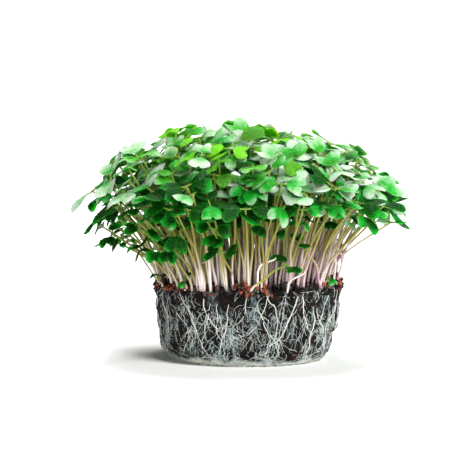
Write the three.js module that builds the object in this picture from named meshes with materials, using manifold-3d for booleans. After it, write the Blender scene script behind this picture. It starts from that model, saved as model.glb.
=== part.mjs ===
// Microgreens on a bare soil block: young brassica seedlings with notched seed leaves, standing in a
// round plug of growing medium that white roots have bound together.
// Millimetres, +Z up. The origin is the centre of the flat base, and the front faces -Y.
import * as THREE from "three";
import { mergeVertices } from "three/addons/utils/BufferGeometryUtils.js";
import Module from "manifold-3d";

const wasm = await Module();
wasm.setup();

// Soil block: a tapered round plug with the rounded lower edge of the tub it grew in.
const BLOCK_HEIGHT = 40;
const TOP_RADIUS = 50;
const BASE_RADIUS = 46;
const EDGE_ROUND = 8;
const GAP = 0.3;
const BLOCK_SIDES = 36;
const SIDE_ROWS = [17, 24, 31, 38];
const TOP_RINGS = [48.5, 36, 20];
const SIDE_DENT = 0.9;
const TOP_LUMP = 0.8;

// Root pad under the block, and the net of roots on its side.
const PAD_THICKNESS = 2;
const PAD_RADIUS = 39;
const PAD_BULGE = 2;
const ROOT_RADIUS = 0.75;
const ROOT_CLEARANCE = 1.15;
const ROOTS = 27;
const ROOT_STEPS = 6;
const ROOT_FOOT = 4.5;
const ROOT_TOPS = [24, 38];
const ROOT_SLANT = 10;
const ROOT_WANDER = 1.6;
const HOOP_HEIGHT = 8;
const HOOP_WAVE = 1.8;
const HOOP_TUBE = 0.1;
const ROOT_SEED = 20;

// Seed coats pressed into the top of the soil.
const COATS = 26;
const COAT_REACH = [20, 47.5];
const COAT_RADIUS = 1.9;
const COAT_TO_HOLE = 5.5;
const COAT_SINK = -0.2;

// Tufts: a few stems rise from one short root in a plain hole.
const TUFTS = 42;
const TUFT_REACH = 45.5;
const GOLDEN_ANGLE = Math.PI * (3 - Math.sqrt(5));
const HOLE_RADIUS = 3.1;
const HOLE_SIDES = 6;
const HOLE_FLOOR = 30;
const HOLE_CUT_TOP = 50;
const ROOT_CORE_RADIUS = 2.3;
const ROOT_CORE_TIP = 1.2;
const ROOT_CORE_FLOOR = 31;
const ROOT_CORE_TOP = 41;
const STEM_RADIUS = 0.85;
const STEM_SINK = 1.2;
const STEM_START = 0.8;
const STEM_STEPS = 3;
const BEND_OUT = 0.16;
const BEND_UP = 0.52;
const FAN = 1.6;
const TIP_SPREAD = [4.5, 9];
const TIP_REACH = 76;

// Crown: the dome that the stem tips fill. It leans a little, so that it is lower on the right.
const CROWN_BASE = 66;
const CROWN_RISE = 53;
const CROWN_TILT = 0.05;
const CROWN_RADIUS = 86;
const CROWN_ROUND = 3.8;
const LOW_INNER = 13;
const LOW_OUTER = 10;
const LOWEST_TIP = 86;
const SIDE_SAG = 4;

// Strays: tips that hang out beyond the crown, each from the tuft nearest to it.
const STRAYS = [
  [-83, -7, 90],
  [-78, 9, 75],
  [76, -14, 74],
  [-38, -4, 123],
];
const STRAY_SHIFT = 0.4;

// Seed leaves: a short stalk and a broad blade with a notch at its end.
const LEAF_LENGTH = 14.5;
const LEAF_WIDTH = 15;
const LEAF_THICKNESS = 1.2;
const LEAF_CENTRE = 0.66;
const LEAF_SIZES = [0.68, 1.06];
const LEAF_HALF_OUTLINE = [
  [0, 0],
  [0.24, 0.05],
  [0.36, 0.32],
  [0.6, 0.5],
  [0.88, 0.46],
  [1, 0.27],
  [0.79, 0],
];
const LEAF_LEAN = 0.9;
const LEAF_TILT = 0.8;
const LEAF_SPREAD = [1.15, 1.6];
const LEAF_DROOP = [0, 0.35];
const LEAF_CUP = [-0.12, 0.16];

// Clear room between seedlings is tested on balls along the stems and over the blades.
const STEM_PROBES = 16;
const STEM_PROBE_FROM = 0.3;
const STEM_PROBE_RADIUS = 1.15;
const LEAF_PROBES = [
  [0.3, 0],
  [0.5, 0],
  [0.52, -0.3],
  [0.52, 0.3],
  [0.72, -0.2],
  [0.72, 0.2],
  [0.74, -0.42],
  [0.74, 0.42],
  [0.92, -0.28],
  [0.92, 0.28],
];
const LEAF_PROBE_RADIUS = 1.75;
const PROBE_GAP = 0.4;
const TRIES = 80;
const LOWER_EACH_TRY = 0.3;
const PLAN_SEED = 37;

// Random draws from 0 to 1, the same each time.
function draws(seed) {
  let state = seed;
  return () => {
    state = (state * 16807) % 2147483647;
    return state / 2147483647;
  };
}

const between = ([low, high], share) => low + (high - low) * share;

// The block's outline: its radius at a height, and which way the surface faces there.
const wall = (z) => BASE_RADIUS + ((TOP_RADIUS - BASE_RADIUS) * z) / BLOCK_HEIGHT;
const BLOCK_FLOOR = PAD_THICKNESS + GAP;
const EDGE_HEIGHT = BLOCK_FLOOR + EDGE_ROUND;

function blockSurface(z) {
  const angle = Math.asin(Math.max(0, Math.min(1, (EDGE_HEIGHT - z) / EDGE_ROUND)));
  const radius =
    z > EDGE_HEIGHT ? wall(z) : wall(EDGE_HEIGHT) - EDGE_ROUND * (1 - Math.cos(angle));
  return { radius, out: Math.cos(angle), up: -Math.sin(angle) };
}

// A closed geometry as a solid for cutting and joining.
function solid(geometry) {
  const plain = geometry.clone();
  plain.deleteAttribute("normal");
  plain.deleteAttribute("uv");
  const merged = mergeVertices(plain, 1e-4);
  const corners = merged.index.array;
  const kept = [];
  for (let i = 0; i < corners.length; i += 3) {
    const [a, b, c] = corners.slice(i, i + 3);
    if (a !== b && b !== c && c !== a) kept.push(a, b, c);
  }
  const vertProperties = merged.attributes.position.array;
  const triVerts = new Uint32Array(kept);
  return new wasm.Manifold(new wasm.Mesh({ numProp: 3, vertProperties, triVerts }));
}

function geometryOf(manifold) {
  const mesh = manifold.getMesh();
  const geometry = new THREE.BufferGeometry();
  geometry.setAttribute("position", new THREE.BufferAttribute(mesh.vertProperties, 3));
  geometry.setIndex(new THREE.BufferAttribute(mesh.triVerts, 1));
  geometry.computeVertexNormals();
  return geometry;
}

// Moves every vertex of a geometry by a rule.
function shape(geometry, rule) {
  const places = geometry.attributes.position;
  const point = new THREE.Vector3();
  for (let i = 0; i < places.count; i += 1) {
    point.fromBufferAttribute(places, i);
    rule(point, i);
    places.setXYZ(i, point.x, point.y, point.z);
  }
  return geometry;
}

function section(sides, radius) {
  const points = [];
  for (let i = 0; i < sides; i += 1) {
    const angle = (2 * Math.PI * i) / sides;
    points.push(new THREE.Vector2(radius * Math.cos(angle), radius * Math.sin(angle)));
  }
  return new THREE.Shape(points);
}

function tube(path, sides, radius, steps) {
  return new THREE.ExtrudeGeometry(section(sides, radius), { steps, extrudePath: path });
}

// Seedlings: where each stem starts, bends and ends, and how its two leaves stand.
function crownHeight(reach) {
  return CROWN_BASE + CROWN_RISE * Math.sqrt(1 - (reach / CROWN_RADIUS) ** CROWN_ROUND);
}

function leafPair(tip, stemAxis, random) {
  const turn = 2 * Math.PI * random();
  const size = between(LEAF_SIZES, random());
  const tiltWay = 2 * Math.PI * random();
  const tilt = LEAF_TILT * random();
  const axis = new THREE.Vector3(
    (LEAF_LEAN * tip.x) / TIP_REACH + tilt * Math.cos(tiltWay),
    (LEAF_LEAN * tip.y) / TIP_REACH + tilt * Math.sin(tiltWay),
    1,
  ).normalize();
  const side = new THREE.Vector3(Math.cos(turn), Math.sin(turn), 0);
  side.addScaledVector(axis, -side.dot(axis)).normalize();
  return [1, -1].map((way) => {
    const spread = between(LEAF_SPREAD, random());
    const along = axis
      .clone()
      .multiplyScalar(Math.cos(spread))
      .addScaledVector(side, way * Math.sin(spread));
    const across = axis.clone().cross(along).normalize();
    return {
      root: tip.clone().addScaledVector(stemAxis, -STEM_RADIUS),
      along,
      across,
      normal: along.clone().cross(across),
      size,
      droop: between(LEAF_DROOP, random()),
      cup: between(LEAF_CUP, random()),
    };
  });
}

function seedlingTo(tip, hole, turn, random) {
  const start = new THREE.Vector3(
    hole.x + STEM_START * Math.cos(turn),
    hole.y + STEM_START * Math.sin(turn),
    ROOT_CORE_TOP - STEM_SINK,
  );
  const bend = new THREE.Vector3(
    start.x + BEND_OUT * (tip.x - start.x),
    start.y + BEND_OUT * (tip.y - start.y),
    start.z + BEND_UP * (tip.z - start.z),
  );
  const stem = new THREE.QuadraticBezierCurve3(start, bend, tip);
  return { stem, leaves: leafPair(tip, tip.clone().sub(bend).normalize(), random) };
}

function seedling(hole, share, attempt, random) {
  const turn = 2 * Math.PI * (share + random() / 3);
  const spread = between(TIP_SPREAD, random());
  const reachX = hole.x * FAN + spread * Math.cos(turn);
  const reachY = hole.y * FAN + spread * Math.sin(turn);
  const reach = Math.hypot(reachX, reachY);
  const limit = Math.min(1, TIP_REACH / reach);
  const outness = (reach * limit) / TIP_REACH;
  const low = (LOW_INNER + LOW_OUTER * outness ** 3) * random() ** 2 + attempt * LOWER_EACH_TRY;
  const tip = new THREE.Vector3(reachX * limit, reachY * limit, 0);
  const lowest = LOWEST_TIP - SIDE_SAG * (tip.x / TIP_REACH) ** 2;
  tip.z = Math.max(lowest, crownHeight(reach * limit) - CROWN_TILT * tip.x - low);
  return seedlingTo(tip, hole, turn, random);
}

// A stray's tip is moved further about with each attempt.
function stray(place, hole, attempt, random) {
  const tip = new THREE.Vector3(...place);
  tip.x += STRAY_SHIFT * attempt * (random() - 0.5);
  tip.y += STRAY_SHIFT * attempt * (random() - 0.5);
  return seedlingTo(tip, hole, Math.atan2(tip.y - hole.y, tip.x - hole.x), random);
}

// A point of a leaf from its place along and across the leaf, as shares of length and width.
function onLeaf(leaf, along, across) {
  const length = LEAF_LENGTH * leaf.size;
  const width = LEAF_WIDTH * leaf.size;
  const rise = leaf.cup * width * (2 * across) ** 2 - leaf.droop * length * along ** 2;
  return leaf.root
    .clone()
    .addScaledVector(leaf.along, length * along)
    .addScaledVector(leaf.across, width * across)
    .addScaledVector(leaf.normal, rise);
}

function probes({ stem, leaves }) {
  const balls = [];
  for (let i = 0; i < STEM_PROBES; i += 1) {
    const share = STEM_PROBE_FROM + ((1 - STEM_PROBE_FROM) * i) / (STEM_PROBES - 1);
    balls.push({ at: stem.getPoint(share), radius: STEM_PROBE_RADIUS });
  }
  for (const leaf of leaves) {
    for (const [along, across] of LEAF_PROBES) {
      balls.push({ at: onLeaf(leaf, along, across), radius: LEAF_PROBE_RADIUS });
    }
  }
  return balls;
}

function clear(balls, others) {
  return balls.every((ball) =>
    others.every((other) => ball.at.distanceTo(other.at) > ball.radius + other.radius + PROBE_GAP),
  );
}

// Attempts go on until one finds room, and it takes that room.
function place(attempts, taken) {
  for (let attempt = 0; attempt < TRIES; attempt += 1) {
    const made = attempts(attempt);
    const balls = probes(made);
    if (clear(balls, taken)) {
      taken.push(...balls);
      return [made];
    }
  }
  return [];
}

function holeAt(number) {
  const reach = TUFT_REACH * Math.sqrt((number + 0.5) / TUFTS);
  const turn = number * GOLDEN_ANGLE;
  return new THREE.Vector3(reach * Math.cos(turn), reach * Math.sin(turn), 0);
}

function planTufts() {
  const random = draws(PLAN_SEED);
  const taken = [];
  const tufts = [];
  for (let k = 0; k < TUFTS; k += 1) tufts.push({ hole: holeAt(k), seedlings: [] });
  for (const tip of STRAYS) {
    const away = ({ hole }) => Math.hypot(tip[0] - hole.x, tip[1] - hole.y);
    const tuft = tufts.reduce((best, other) => (away(other) < away(best) ? other : best));
    tuft.seedlings.push(...place((attempt) => stray(tip, tuft.hole, attempt, random), taken));
  }
  tufts.forEach(({ hole, seedlings }, k) => {
    const wanted = 2 + (k % 2);
    for (let j = 0; j < wanted; j += 1) {
      seedlings.push(...place((attempt) => seedling(hole, j / wanted, attempt, random), taken));
    }
  });
  return tufts;
}

// One leaf: a flat bipyramid whose waist is drawn out into the notched outline.
function leafOutline() {
  const there = LEAF_HALF_OUTLINE.map(([along, across]) => [along, -across]);
  const back = LEAF_HALF_OUTLINE.slice(1, -1).reverse();
  return [...there, ...back];
}

function leafGeometry(leaf) {
  const outline = leafOutline();
  const sides = outline.length;
  const blade = new THREE.SphereGeometry(1, sides, 2);
  return shape(blade, (point, i) => {
    const row = Math.floor(i / (sides + 1));
    const [along, across] = row === 1 ? outline[(i % (sides + 1)) % sides] : [LEAF_CENTRE, 0];
    point.copy(onLeaf(leaf, along, across));
    point.addScaledVector(leaf.normal, ((1 - row) * LEAF_THICKNESS) / 2);
  });
}

function rootCore(hole) {
  const height = ROOT_CORE_TOP - ROOT_CORE_FLOOR;
  const core = new THREE.CylinderGeometry(ROOT_CORE_RADIUS, ROOT_CORE_TIP, height, HOLE_SIDES);
  core.rotateX(Math.PI / 2);
  core.translate(hole.x, hole.y, ROOT_CORE_FLOOR + height / 2);
  return core;
}

function tuftMesh({ hole, seedlings }, number) {
  let body = solid(rootCore(hole));
  for (const { stem, leaves } of seedlings) {
    body = body.add(solid(tube(stem, 4, STEM_RADIUS, STEM_STEPS)));
    for (const leaf of leaves) body = body.add(solid(leafGeometry(leaf)));
  }
  const geometry = geometryOf(body);
  geometry.translate(-hole.x, -hole.y, 0);
  const green = new THREE.Color().setHSL(0.31 + 0.02 * (number % 4), 0.48, 0.36);
  const material = new THREE.MeshStandardMaterial({ color: green, roughness: 0.5, metalness: 0 });
  const mesh = new THREE.Mesh(geometry, material);
  mesh.name = "seedling_tuft_" + String(number + 1).padStart(2, "0");
  mesh.position.copy(hole);
  return mesh;
}

// Soil: dented inwards on the side and lumpy on top, by formula.
function soilLump(x, y) {
  return TOP_LUMP * (Math.sin(0.9 * x + 0.4 * y) * Math.cos(0.7 * y - 0.3 * x));
}

function soilBlock() {
  const profile = [new THREE.Vector2(0, BLOCK_FLOOR)];
  for (const turn of [0, 0.33, 0.67, 1]) {
    const angle = (Math.PI / 2) * turn;
    const radius = wall(EDGE_HEIGHT) - EDGE_ROUND * (1 - Math.sin(angle));
    profile.push(new THREE.Vector2(radius, EDGE_HEIGHT - EDGE_ROUND * Math.cos(angle)));
  }
  for (const z of SIDE_ROWS) profile.push(new THREE.Vector2(wall(z), z));
  for (const radius of TOP_RINGS) profile.push(new THREE.Vector2(radius, BLOCK_HEIGHT));
  profile.push(new THREE.Vector2(0, BLOCK_HEIGHT));
  const lathe = new THREE.LatheGeometry(profile, BLOCK_SIDES);
  lathe.rotateX(Math.PI / 2);
  return shape(lathe, (point) => {
    const radius = Math.hypot(point.x, point.y);
    const turn = Math.atan2(point.y, point.x);
    if (point.z > BLOCK_HEIGHT - 1) {
      point.z += soilLump(point.x, point.y);
    } else if (point.z > EDGE_HEIGHT + 1) {
      const dent = 0.5 + 0.5 * Math.sin(17 * turn + 1.9 * point.z) * Math.cos(6 * turn - point.z);
      point.x *= 1 - (SIDE_DENT * dent) / radius;
      point.y *= 1 - (SIDE_DENT * dent) / radius;
    }
  });
}

function seedCoats(tufts) {
  const coats = [];
  for (let i = 0; i < COATS; i += 1) {
    const reach = between(COAT_REACH, Math.sqrt((i + 0.5) / COATS));
    const angle = (i + 0.4) * GOLDEN_ANGLE;
    const x = reach * Math.cos(angle);
    const y = reach * Math.sin(angle);
    if (tufts.some(({ hole }) => Math.hypot(hole.x - x, hole.y - y) < COAT_TO_HOLE)) continue;
    const coat = new THREE.IcosahedronGeometry(COAT_RADIUS, 0);
    coat.scale(1.2, 0.95, 0.8);
    coat.rotateZ(i);
    coat.translate(x, y, BLOCK_HEIGHT + soilLump(x, y) - COAT_SINK);
    coats.push(coat);
  }
  return coats;
}

function soilMesh(tufts) {
  let body = solid(soilBlock());
  for (const coat of seedCoats(tufts)) body = body.add(solid(coat));
  for (const { hole } of tufts) {
    const depth = HOLE_CUT_TOP - HOLE_FLOOR;
    const cut = new THREE.CylinderGeometry(HOLE_RADIUS, HOLE_RADIUS, depth, HOLE_SIDES);
    cut.rotateX(Math.PI / 2);
    cut.translate(hole.x, hole.y, HOLE_FLOOR + depth / 2);
    body = body.subtract(solid(cut));
  }
  const material = new THREE.MeshStandardMaterial({ color: 0x2b231d, roughness: 0.95, metalness: 0 });
  const mesh = new THREE.Mesh(geometryOf(body), material);
  mesh.name = "soil_block";
  return mesh;
}

// Roots: strands that hug the side of the block, cross each other and meet a hoop of circling root.
function onSkin(angle, z) {
  const { radius, out, up } = blockSurface(z);
  const reach = radius + ROOT_CLEARANCE * out;
  const height = z + ROOT_CLEARANCE * up;
  return new THREE.Vector3(reach * Math.cos(angle), reach * Math.sin(angle), height);
}

function rootStrand(number, random) {
  const top = between(ROOT_TOPS, random());
  const start = (2 * Math.PI * (number + 0.5 * random())) / ROOTS;
  const slant = ((number % 2 ? 1 : -1) * ROOT_SLANT * (0.5 + random())) / TOP_RADIUS;
  const phase = 2 * Math.PI * random();
  const points = [];
  for (let i = 0; i <= ROOT_STEPS; i += 1) {
    const share = i / ROOT_STEPS;
    const wander = (ROOT_WANDER * Math.sin(phase + 7 * share)) / TOP_RADIUS;
    points.push(onSkin(start + slant * share + wander, ROOT_FOOT + (top - ROOT_FOOT) * share));
  }
  return tube(new THREE.CatmullRomCurve3(points), 3, ROOT_RADIUS, ROOT_STEPS);
}

function rootHoop() {
  const hoop = new THREE.TorusGeometry(1, HOOP_TUBE, 3, BLOCK_SIDES);
  const thicken = ROOT_RADIUS / HOOP_TUBE;
  return shape(hoop, (point) => {
    const angle = Math.atan2(point.y, point.x);
    const wave = HOOP_WAVE * Math.sin(3 * angle) * Math.cos(2 * angle);
    const middle = onSkin(angle, HOOP_HEIGHT + wave);
    const outward = (Math.hypot(point.x, point.y) - 1) * thicken;
    point.set(
      middle.x + outward * Math.cos(angle),
      middle.y + outward * Math.sin(angle),
      middle.z + point.z * thicken,
    );
  });
}

function rootNetMesh() {
  const random = draws(ROOT_SEED);
  let body = solid(rootHoop());
  for (let i = 0; i < ROOTS; i += 1) body = body.add(solid(rootStrand(i, random)));
  const material = new THREE.MeshStandardMaterial({ color: 0xcfd3c8, roughness: 0.7, metalness: 0 });
  const mesh = new THREE.Mesh(geometryOf(body), material);
  mesh.name = "root_net";
  return mesh;
}

function rootPadMesh() {
  const profile = [
    new THREE.Vector2(0, 0),
    new THREE.Vector2(PAD_RADIUS, 0),
    new THREE.Vector2(PAD_RADIUS + PAD_BULGE, PAD_THICKNESS / 2),
    new THREE.Vector2(PAD_RADIUS + PAD_BULGE / 2, PAD_THICKNESS),
    new THREE.Vector2(0, PAD_THICKNESS),
  ];
  const pad = new THREE.LatheGeometry(profile, BLOCK_SIDES);
  pad.rotateX(Math.PI / 2);
  const material = new THREE.MeshStandardMaterial({ color: 0xc3c9bd, roughness: 0.8, metalness: 0 });
  const mesh = new THREE.Mesh(pad, material);
  mesh.name = "root_pad";
  return mesh;
}

const tufts = planTufts();
const microgreens = new THREE.Group();
microgreens.name = "microgreens";
microgreens.add(rootPadMesh(), soilMesh(tufts), rootNetMesh());
tufts.forEach((tuft, i) => microgreens.add(tuftMesh(tuft, i)));

export default microgreens;
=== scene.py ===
import math

import bpy
import numpy as np
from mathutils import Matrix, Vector
from mathutils.bvhtree import BVHTree


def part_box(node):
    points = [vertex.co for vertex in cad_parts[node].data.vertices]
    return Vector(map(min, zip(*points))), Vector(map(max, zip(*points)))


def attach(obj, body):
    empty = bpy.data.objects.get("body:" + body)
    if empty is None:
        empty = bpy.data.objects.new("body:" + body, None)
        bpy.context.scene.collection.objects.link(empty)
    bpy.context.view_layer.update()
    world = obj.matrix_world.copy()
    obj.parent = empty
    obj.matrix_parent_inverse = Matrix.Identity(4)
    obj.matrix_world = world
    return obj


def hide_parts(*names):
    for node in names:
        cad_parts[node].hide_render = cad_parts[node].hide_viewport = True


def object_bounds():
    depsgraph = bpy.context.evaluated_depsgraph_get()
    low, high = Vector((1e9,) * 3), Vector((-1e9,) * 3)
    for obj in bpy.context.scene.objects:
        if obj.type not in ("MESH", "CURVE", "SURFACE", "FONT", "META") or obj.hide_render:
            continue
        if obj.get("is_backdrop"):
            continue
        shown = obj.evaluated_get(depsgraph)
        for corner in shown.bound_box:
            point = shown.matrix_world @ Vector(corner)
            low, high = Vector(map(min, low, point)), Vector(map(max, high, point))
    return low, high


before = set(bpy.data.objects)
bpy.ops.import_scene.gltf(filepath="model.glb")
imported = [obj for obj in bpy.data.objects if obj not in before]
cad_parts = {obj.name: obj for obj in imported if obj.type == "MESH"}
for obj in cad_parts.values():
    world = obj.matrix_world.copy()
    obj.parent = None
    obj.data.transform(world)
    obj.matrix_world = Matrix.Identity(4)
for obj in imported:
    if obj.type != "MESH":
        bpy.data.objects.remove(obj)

bl_info = {
    "name": "Microgreens on a soil block",
    "version": (1, 0, 0),
    "blender": (4, 5, 0),
    "location": "View3D > Sidebar > Microgreens",
    "description": "Dresses the packed microgreens with seedlings, soil, roots and seed coats",
    "category": "Object",
}

# The frame, in metres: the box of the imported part, its pad of roots and its tufts.
CAD_LOW, CAD_HIGH = (np.array(corner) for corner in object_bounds())
PAD_LOW, PAD_HIGH = (np.array(corner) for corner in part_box("root_pad"))
TUFT_NODES = sorted(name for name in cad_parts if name.startswith("seedling_tuft_"))
MM = 0.001

# The seedling plan repeats the part's own rule with its numbers, in millimetres.
BLOCK_HEIGHT = 40.0
TUFT_REACH = 45.5
GOLDEN_ANGLE = math.pi * (3 - math.sqrt(5))
ROOT_CORE_TOP = 41.0
STEM_RADIUS = 0.85
STEM_SINK = 1.2
STEM_START = 0.8
BEND_OUT = 0.16
BEND_UP = 0.52
FAN = 1.6
TIP_SPREAD = (4.5, 9.0)
TIP_REACH = 76.0
CROWN_BASE = 66.0
CROWN_RISE = 53.0
CROWN_TILT = 0.05
CROWN_RADIUS = 86.0
CROWN_ROUND = 3.8
LOW_INNER = 13.0
LOW_OUTER = 10.0
LOWEST_TIP = 86.0
SIDE_SAG = 4.0
STRAYS = ((-83.0, -7.0, 90.0), (-78.0, 9.0, 75.0), (76.0, -14.0, 74.0), (-38.0, -4.0, 123.0))
STRAY_SHIFT = 0.4
LEAF_LENGTH = 14.5
LEAF_WIDTH = 15.0
LEAF_SIZES = (0.68, 1.06)
LEAF_LEAN = 0.9
LEAF_TILT = 0.8
LEAF_SPREAD = (1.15, 1.6)
LEAF_DROOP = (0.0, 0.35)
LEAF_CUP = (-0.12, 0.16)
STEM_PROBES = 16
STEM_PROBE_FROM = 0.3
STEM_PROBE_RADIUS = 1.15
LEAF_PROBES = (
    (0.3, 0), (0.5, 0), (0.52, -0.3), (0.52, 0.3), (0.72, -0.2),
    (0.72, 0.2), (0.74, -0.42), (0.74, 0.42), (0.92, -0.28), (0.92, 0.28),
)
LEAF_PROBE_RADIUS = 1.75
PROBE_GAP = 0.4
TRIES = 80
LOWER_EACH_TRY = 0.3
PLAN_SEED = 37


def draws(seed):
    """Random numbers from 0 to 1, the same each time and in the part's source."""
    state = seed

    def draw():
        nonlocal state
        state = state * 16807 % 2147483647
        return state / 2147483647

    return draw


def between(limits, share):
    """The value at a share of the way from the lower limit to the upper one."""
    return limits[0] + (limits[1] - limits[0]) * share


def either_way(draw):
    """One way or the other, as 1 or -1."""
    return 1 if draw() < 0.5 else -1


def any_turn(draw):
    """An angle of any size, in radians."""
    return 2 * math.pi * draw()


def ring_at(turn):
    """The level direction at a turn about the middle of the block."""
    return np.array([math.cos(turn), math.sin(turn)])


def unit(vector):
    """The vector at length 1."""
    return vector / np.linalg.norm(vector)


def crown_height(reach):
    """How high the dome of leaves stands at a distance from its middle."""
    return CROWN_BASE + CROWN_RISE * math.sqrt(1 - (reach / CROWN_RADIUS) ** CROWN_ROUND)


def leaf_pair(tip, stem_axis, draw, lean):
    """The two seed leaves of a stem: their places, directions, sizes and curves."""
    turn = any_turn(draw)
    size = between(LEAF_SIZES, draw())
    tilt_way = any_turn(draw)
    tilt = LEAF_TILT * draw()
    axis = unit(np.array([
        lean * tip[0] / TIP_REACH + tilt * math.cos(tilt_way),
        lean * tip[1] / TIP_REACH + tilt * math.sin(tilt_way),
        1.0,
    ]))
    side = np.array([math.cos(turn), math.sin(turn), 0.0])
    side = unit(side - axis * side.dot(axis))
    pair = []
    for way in (1, -1):
        spread = between(LEAF_SPREAD, draw())
        along = axis * math.cos(spread) + side * (way * math.sin(spread))
        across = unit(np.cross(axis, along))
        pair.append({
            "root": tip - stem_axis * STEM_RADIUS,
            "along": along,
            "across": across,
            "normal": np.cross(along, across),
            "size": size,
            "droop": between(LEAF_DROOP, draw()),
            "cup": between(LEAF_CUP, draw()),
        })
    return pair


def seedling_to(tip, hole, turn, draw, lean=LEAF_LEAN):
    """A seedling from a hole to a tip: its stem's three points and its two leaves."""
    start = np.array([
        hole[0] + STEM_START * math.cos(turn),
        hole[1] + STEM_START * math.sin(turn),
        ROOT_CORE_TOP - STEM_SINK,
    ])
    bend = start + (tip - start) * (BEND_OUT, BEND_OUT, BEND_UP)
    return {
        "start": start,
        "bend": bend,
        "tip": tip,
        "leaves": leaf_pair(tip, unit(tip - bend), draw, lean),
    }


def seedling(hole, share, attempt, draw, lean=LEAF_LEAN):
    """One candidate seedling for a hole; each attempt ends a little lower."""
    turn = 2 * math.pi * (share + draw() / 3)
    spread = between(TIP_SPREAD, draw())
    reach_x = hole[0] * FAN + spread * math.cos(turn)
    reach_y = hole[1] * FAN + spread * math.sin(turn)
    reach = math.hypot(reach_x, reach_y)
    limit = min(1, TIP_REACH / reach)
    outness = reach * limit / TIP_REACH
    low = (LOW_INNER + LOW_OUTER * outness ** 3) * draw() ** 2 + attempt * LOWER_EACH_TRY
    tip = np.array([reach_x * limit, reach_y * limit, 0.0])
    lowest = LOWEST_TIP - SIDE_SAG * (tip[0] / TIP_REACH) ** 2
    tip[2] = max(lowest, crown_height(reach * limit) - CROWN_TILT * tip[0] - low)
    return seedling_to(tip, hole, turn, draw, lean)


def stray(place, hole, attempt, draw):
    """A seedling that hangs out beyond the crown; each attempt moves its tip further about."""
    tip = np.array(place)
    tip[0] += STRAY_SHIFT * attempt * (draw() - 0.5)
    tip[1] += STRAY_SHIFT * attempt * (draw() - 0.5)
    return seedling_to(tip, hole, math.atan2(tip[1] - hole[1], tip[0] - hole[0]), draw)


def on_leaf(leaf, along, across, rise=0.0):
    """Points of a leaf from shares of its length and width, and a height in millimetres."""
    length = LEAF_LENGTH * leaf["size"]
    width = LEAF_WIDTH * leaf["size"]
    curve = leaf["cup"] * width * (2 * across) ** 2 - leaf["droop"] * length * along ** 2
    return (
        leaf["root"]
        + np.multiply.outer(length * along, leaf["along"])
        + np.multiply.outer(width * across, leaf["across"])
        + np.multiply.outer(curve + rise, leaf["normal"])
    )


def on_stem(made, shares):
    """Points along a stem, a quadratic curve."""
    s = np.asarray(shares)[:, None]
    return (1 - s) ** 2 * made["start"] + 2 * s * (1 - s) * made["bend"] + s ** 2 * made["tip"]


PROBE_SHARES = STEM_PROBE_FROM + (1 - STEM_PROBE_FROM) * np.arange(STEM_PROBES) / (STEM_PROBES - 1)
PROBE_ALONG, PROBE_ACROSS = np.array(LEAF_PROBES).T


def probes(made, stem_radius, leaf_radius):
    """Balls along the stem and over the blades, as places and radii."""
    leaf_balls = [on_leaf(leaf, PROBE_ALONG, PROBE_ACROSS) for leaf in made["leaves"]]
    places = np.vstack([on_stem(made, PROBE_SHARES), *leaf_balls])
    radii = np.full(len(places), leaf_radius)
    radii[:STEM_PROBES] = stem_radius
    return places, radii


class Room:
    """The space that seedlings take up, kept as balls."""

    def __init__(self):
        self.places = np.empty((0, 3))
        self.radii = np.empty(0)

    def clear(self, places, radii, gap):
        """True if new balls stay a gap away from all the balls that are there."""
        margin = 2 * radii.max() + gap
        near = np.all(
            (self.places > places.min(axis=0) - margin) & (self.places < places.max(axis=0) + margin),
            axis=1,
        )
        others = self.places[near]
        apart = np.linalg.norm(places[:, None] - others[None], axis=2)
        return bool(np.all(apart > radii[:, None] + self.radii[near][None] + gap))

    def take(self, places, radii):
        """Adds balls to the space that is taken."""
        self.places = np.vstack([self.places, places])
        self.radii = np.concatenate([self.radii, radii])


def settle(room, attempts, tries, stem_radius, leaf_radius, gap):
    """Attempts go on until one finds room, and it takes that room."""
    for attempt in range(tries):
        made = attempts(attempt)
        places, radii = probes(made, stem_radius, leaf_radius)
        if room.clear(places, radii, gap):
            room.take(places, radii)
            return [made]
    return []


def hole_at(number):
    """Where a tuft's hole is: holes spread evenly from the middle in a spiral."""
    reach = TUFT_REACH * math.sqrt((number + 0.5) / len(TUFT_NODES))
    return reach * ring_at(number * GOLDEN_ANGLE)


def plan_tufts():
    """The part's tufts: a hole and its seedlings for each node, in the nodes' order."""
    draw = draws(PLAN_SEED)
    room = Room()
    tufts = [{"hole": hole_at(number), "seedlings": []} for number in range(len(TUFT_NODES))]
    fit = (TRIES, STEM_PROBE_RADIUS, LEAF_PROBE_RADIUS, PROBE_GAP)
    for tip in STRAYS:
        tuft = min(tufts, key=lambda one: math.hypot(tip[0] - one["hole"][0], tip[1] - one["hole"][1]))
        tuft["seedlings"] += settle(room, lambda attempt: stray(tip, tuft["hole"], attempt, draw), *fit)
    for number, tuft in enumerate(tufts):
        wanted = 2 + number % 2
        for j in range(wanted):
            tuft["seedlings"] += settle(
                room, lambda attempt: seedling(tuft["hole"], j / wanted, attempt, draw), *fit)
    return tufts


# Extra seedlings stand between the part's own, as near to each other as real ones. Each round gives a
# tuft one more, a little way from its hole. A tall one starts up to so far below the dome, and each
# attempt to fit it in lowers it further.
EXTRA_SEED = 77
EXTRA_ROUNDS = 8
EXTRA_STRAY = (2.0, 8.0)
EXTRA_FIRST = 7.0
EXTRA_LOWER = 2.0
EXTRA_SIZE = 1.08
EXTRA_LEAN = 0.45
# Attempts, the radii of the balls along stems and over blades, and the gap between balls.
EXTRA_FIT = (30, 0.6, 0.8, 0.0)
# How far from the middle a stem may stand.
RIM_REACH = 47.5
# Short seedlings stay in the shade between the tall ones.
SHORT_ROUNDS = 2
SHORT_FAN = (1.0, 1.45)
SHORT_HEIGHTS = (74.0, 92.0)
SHORT_SIZE = 0.68
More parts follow.
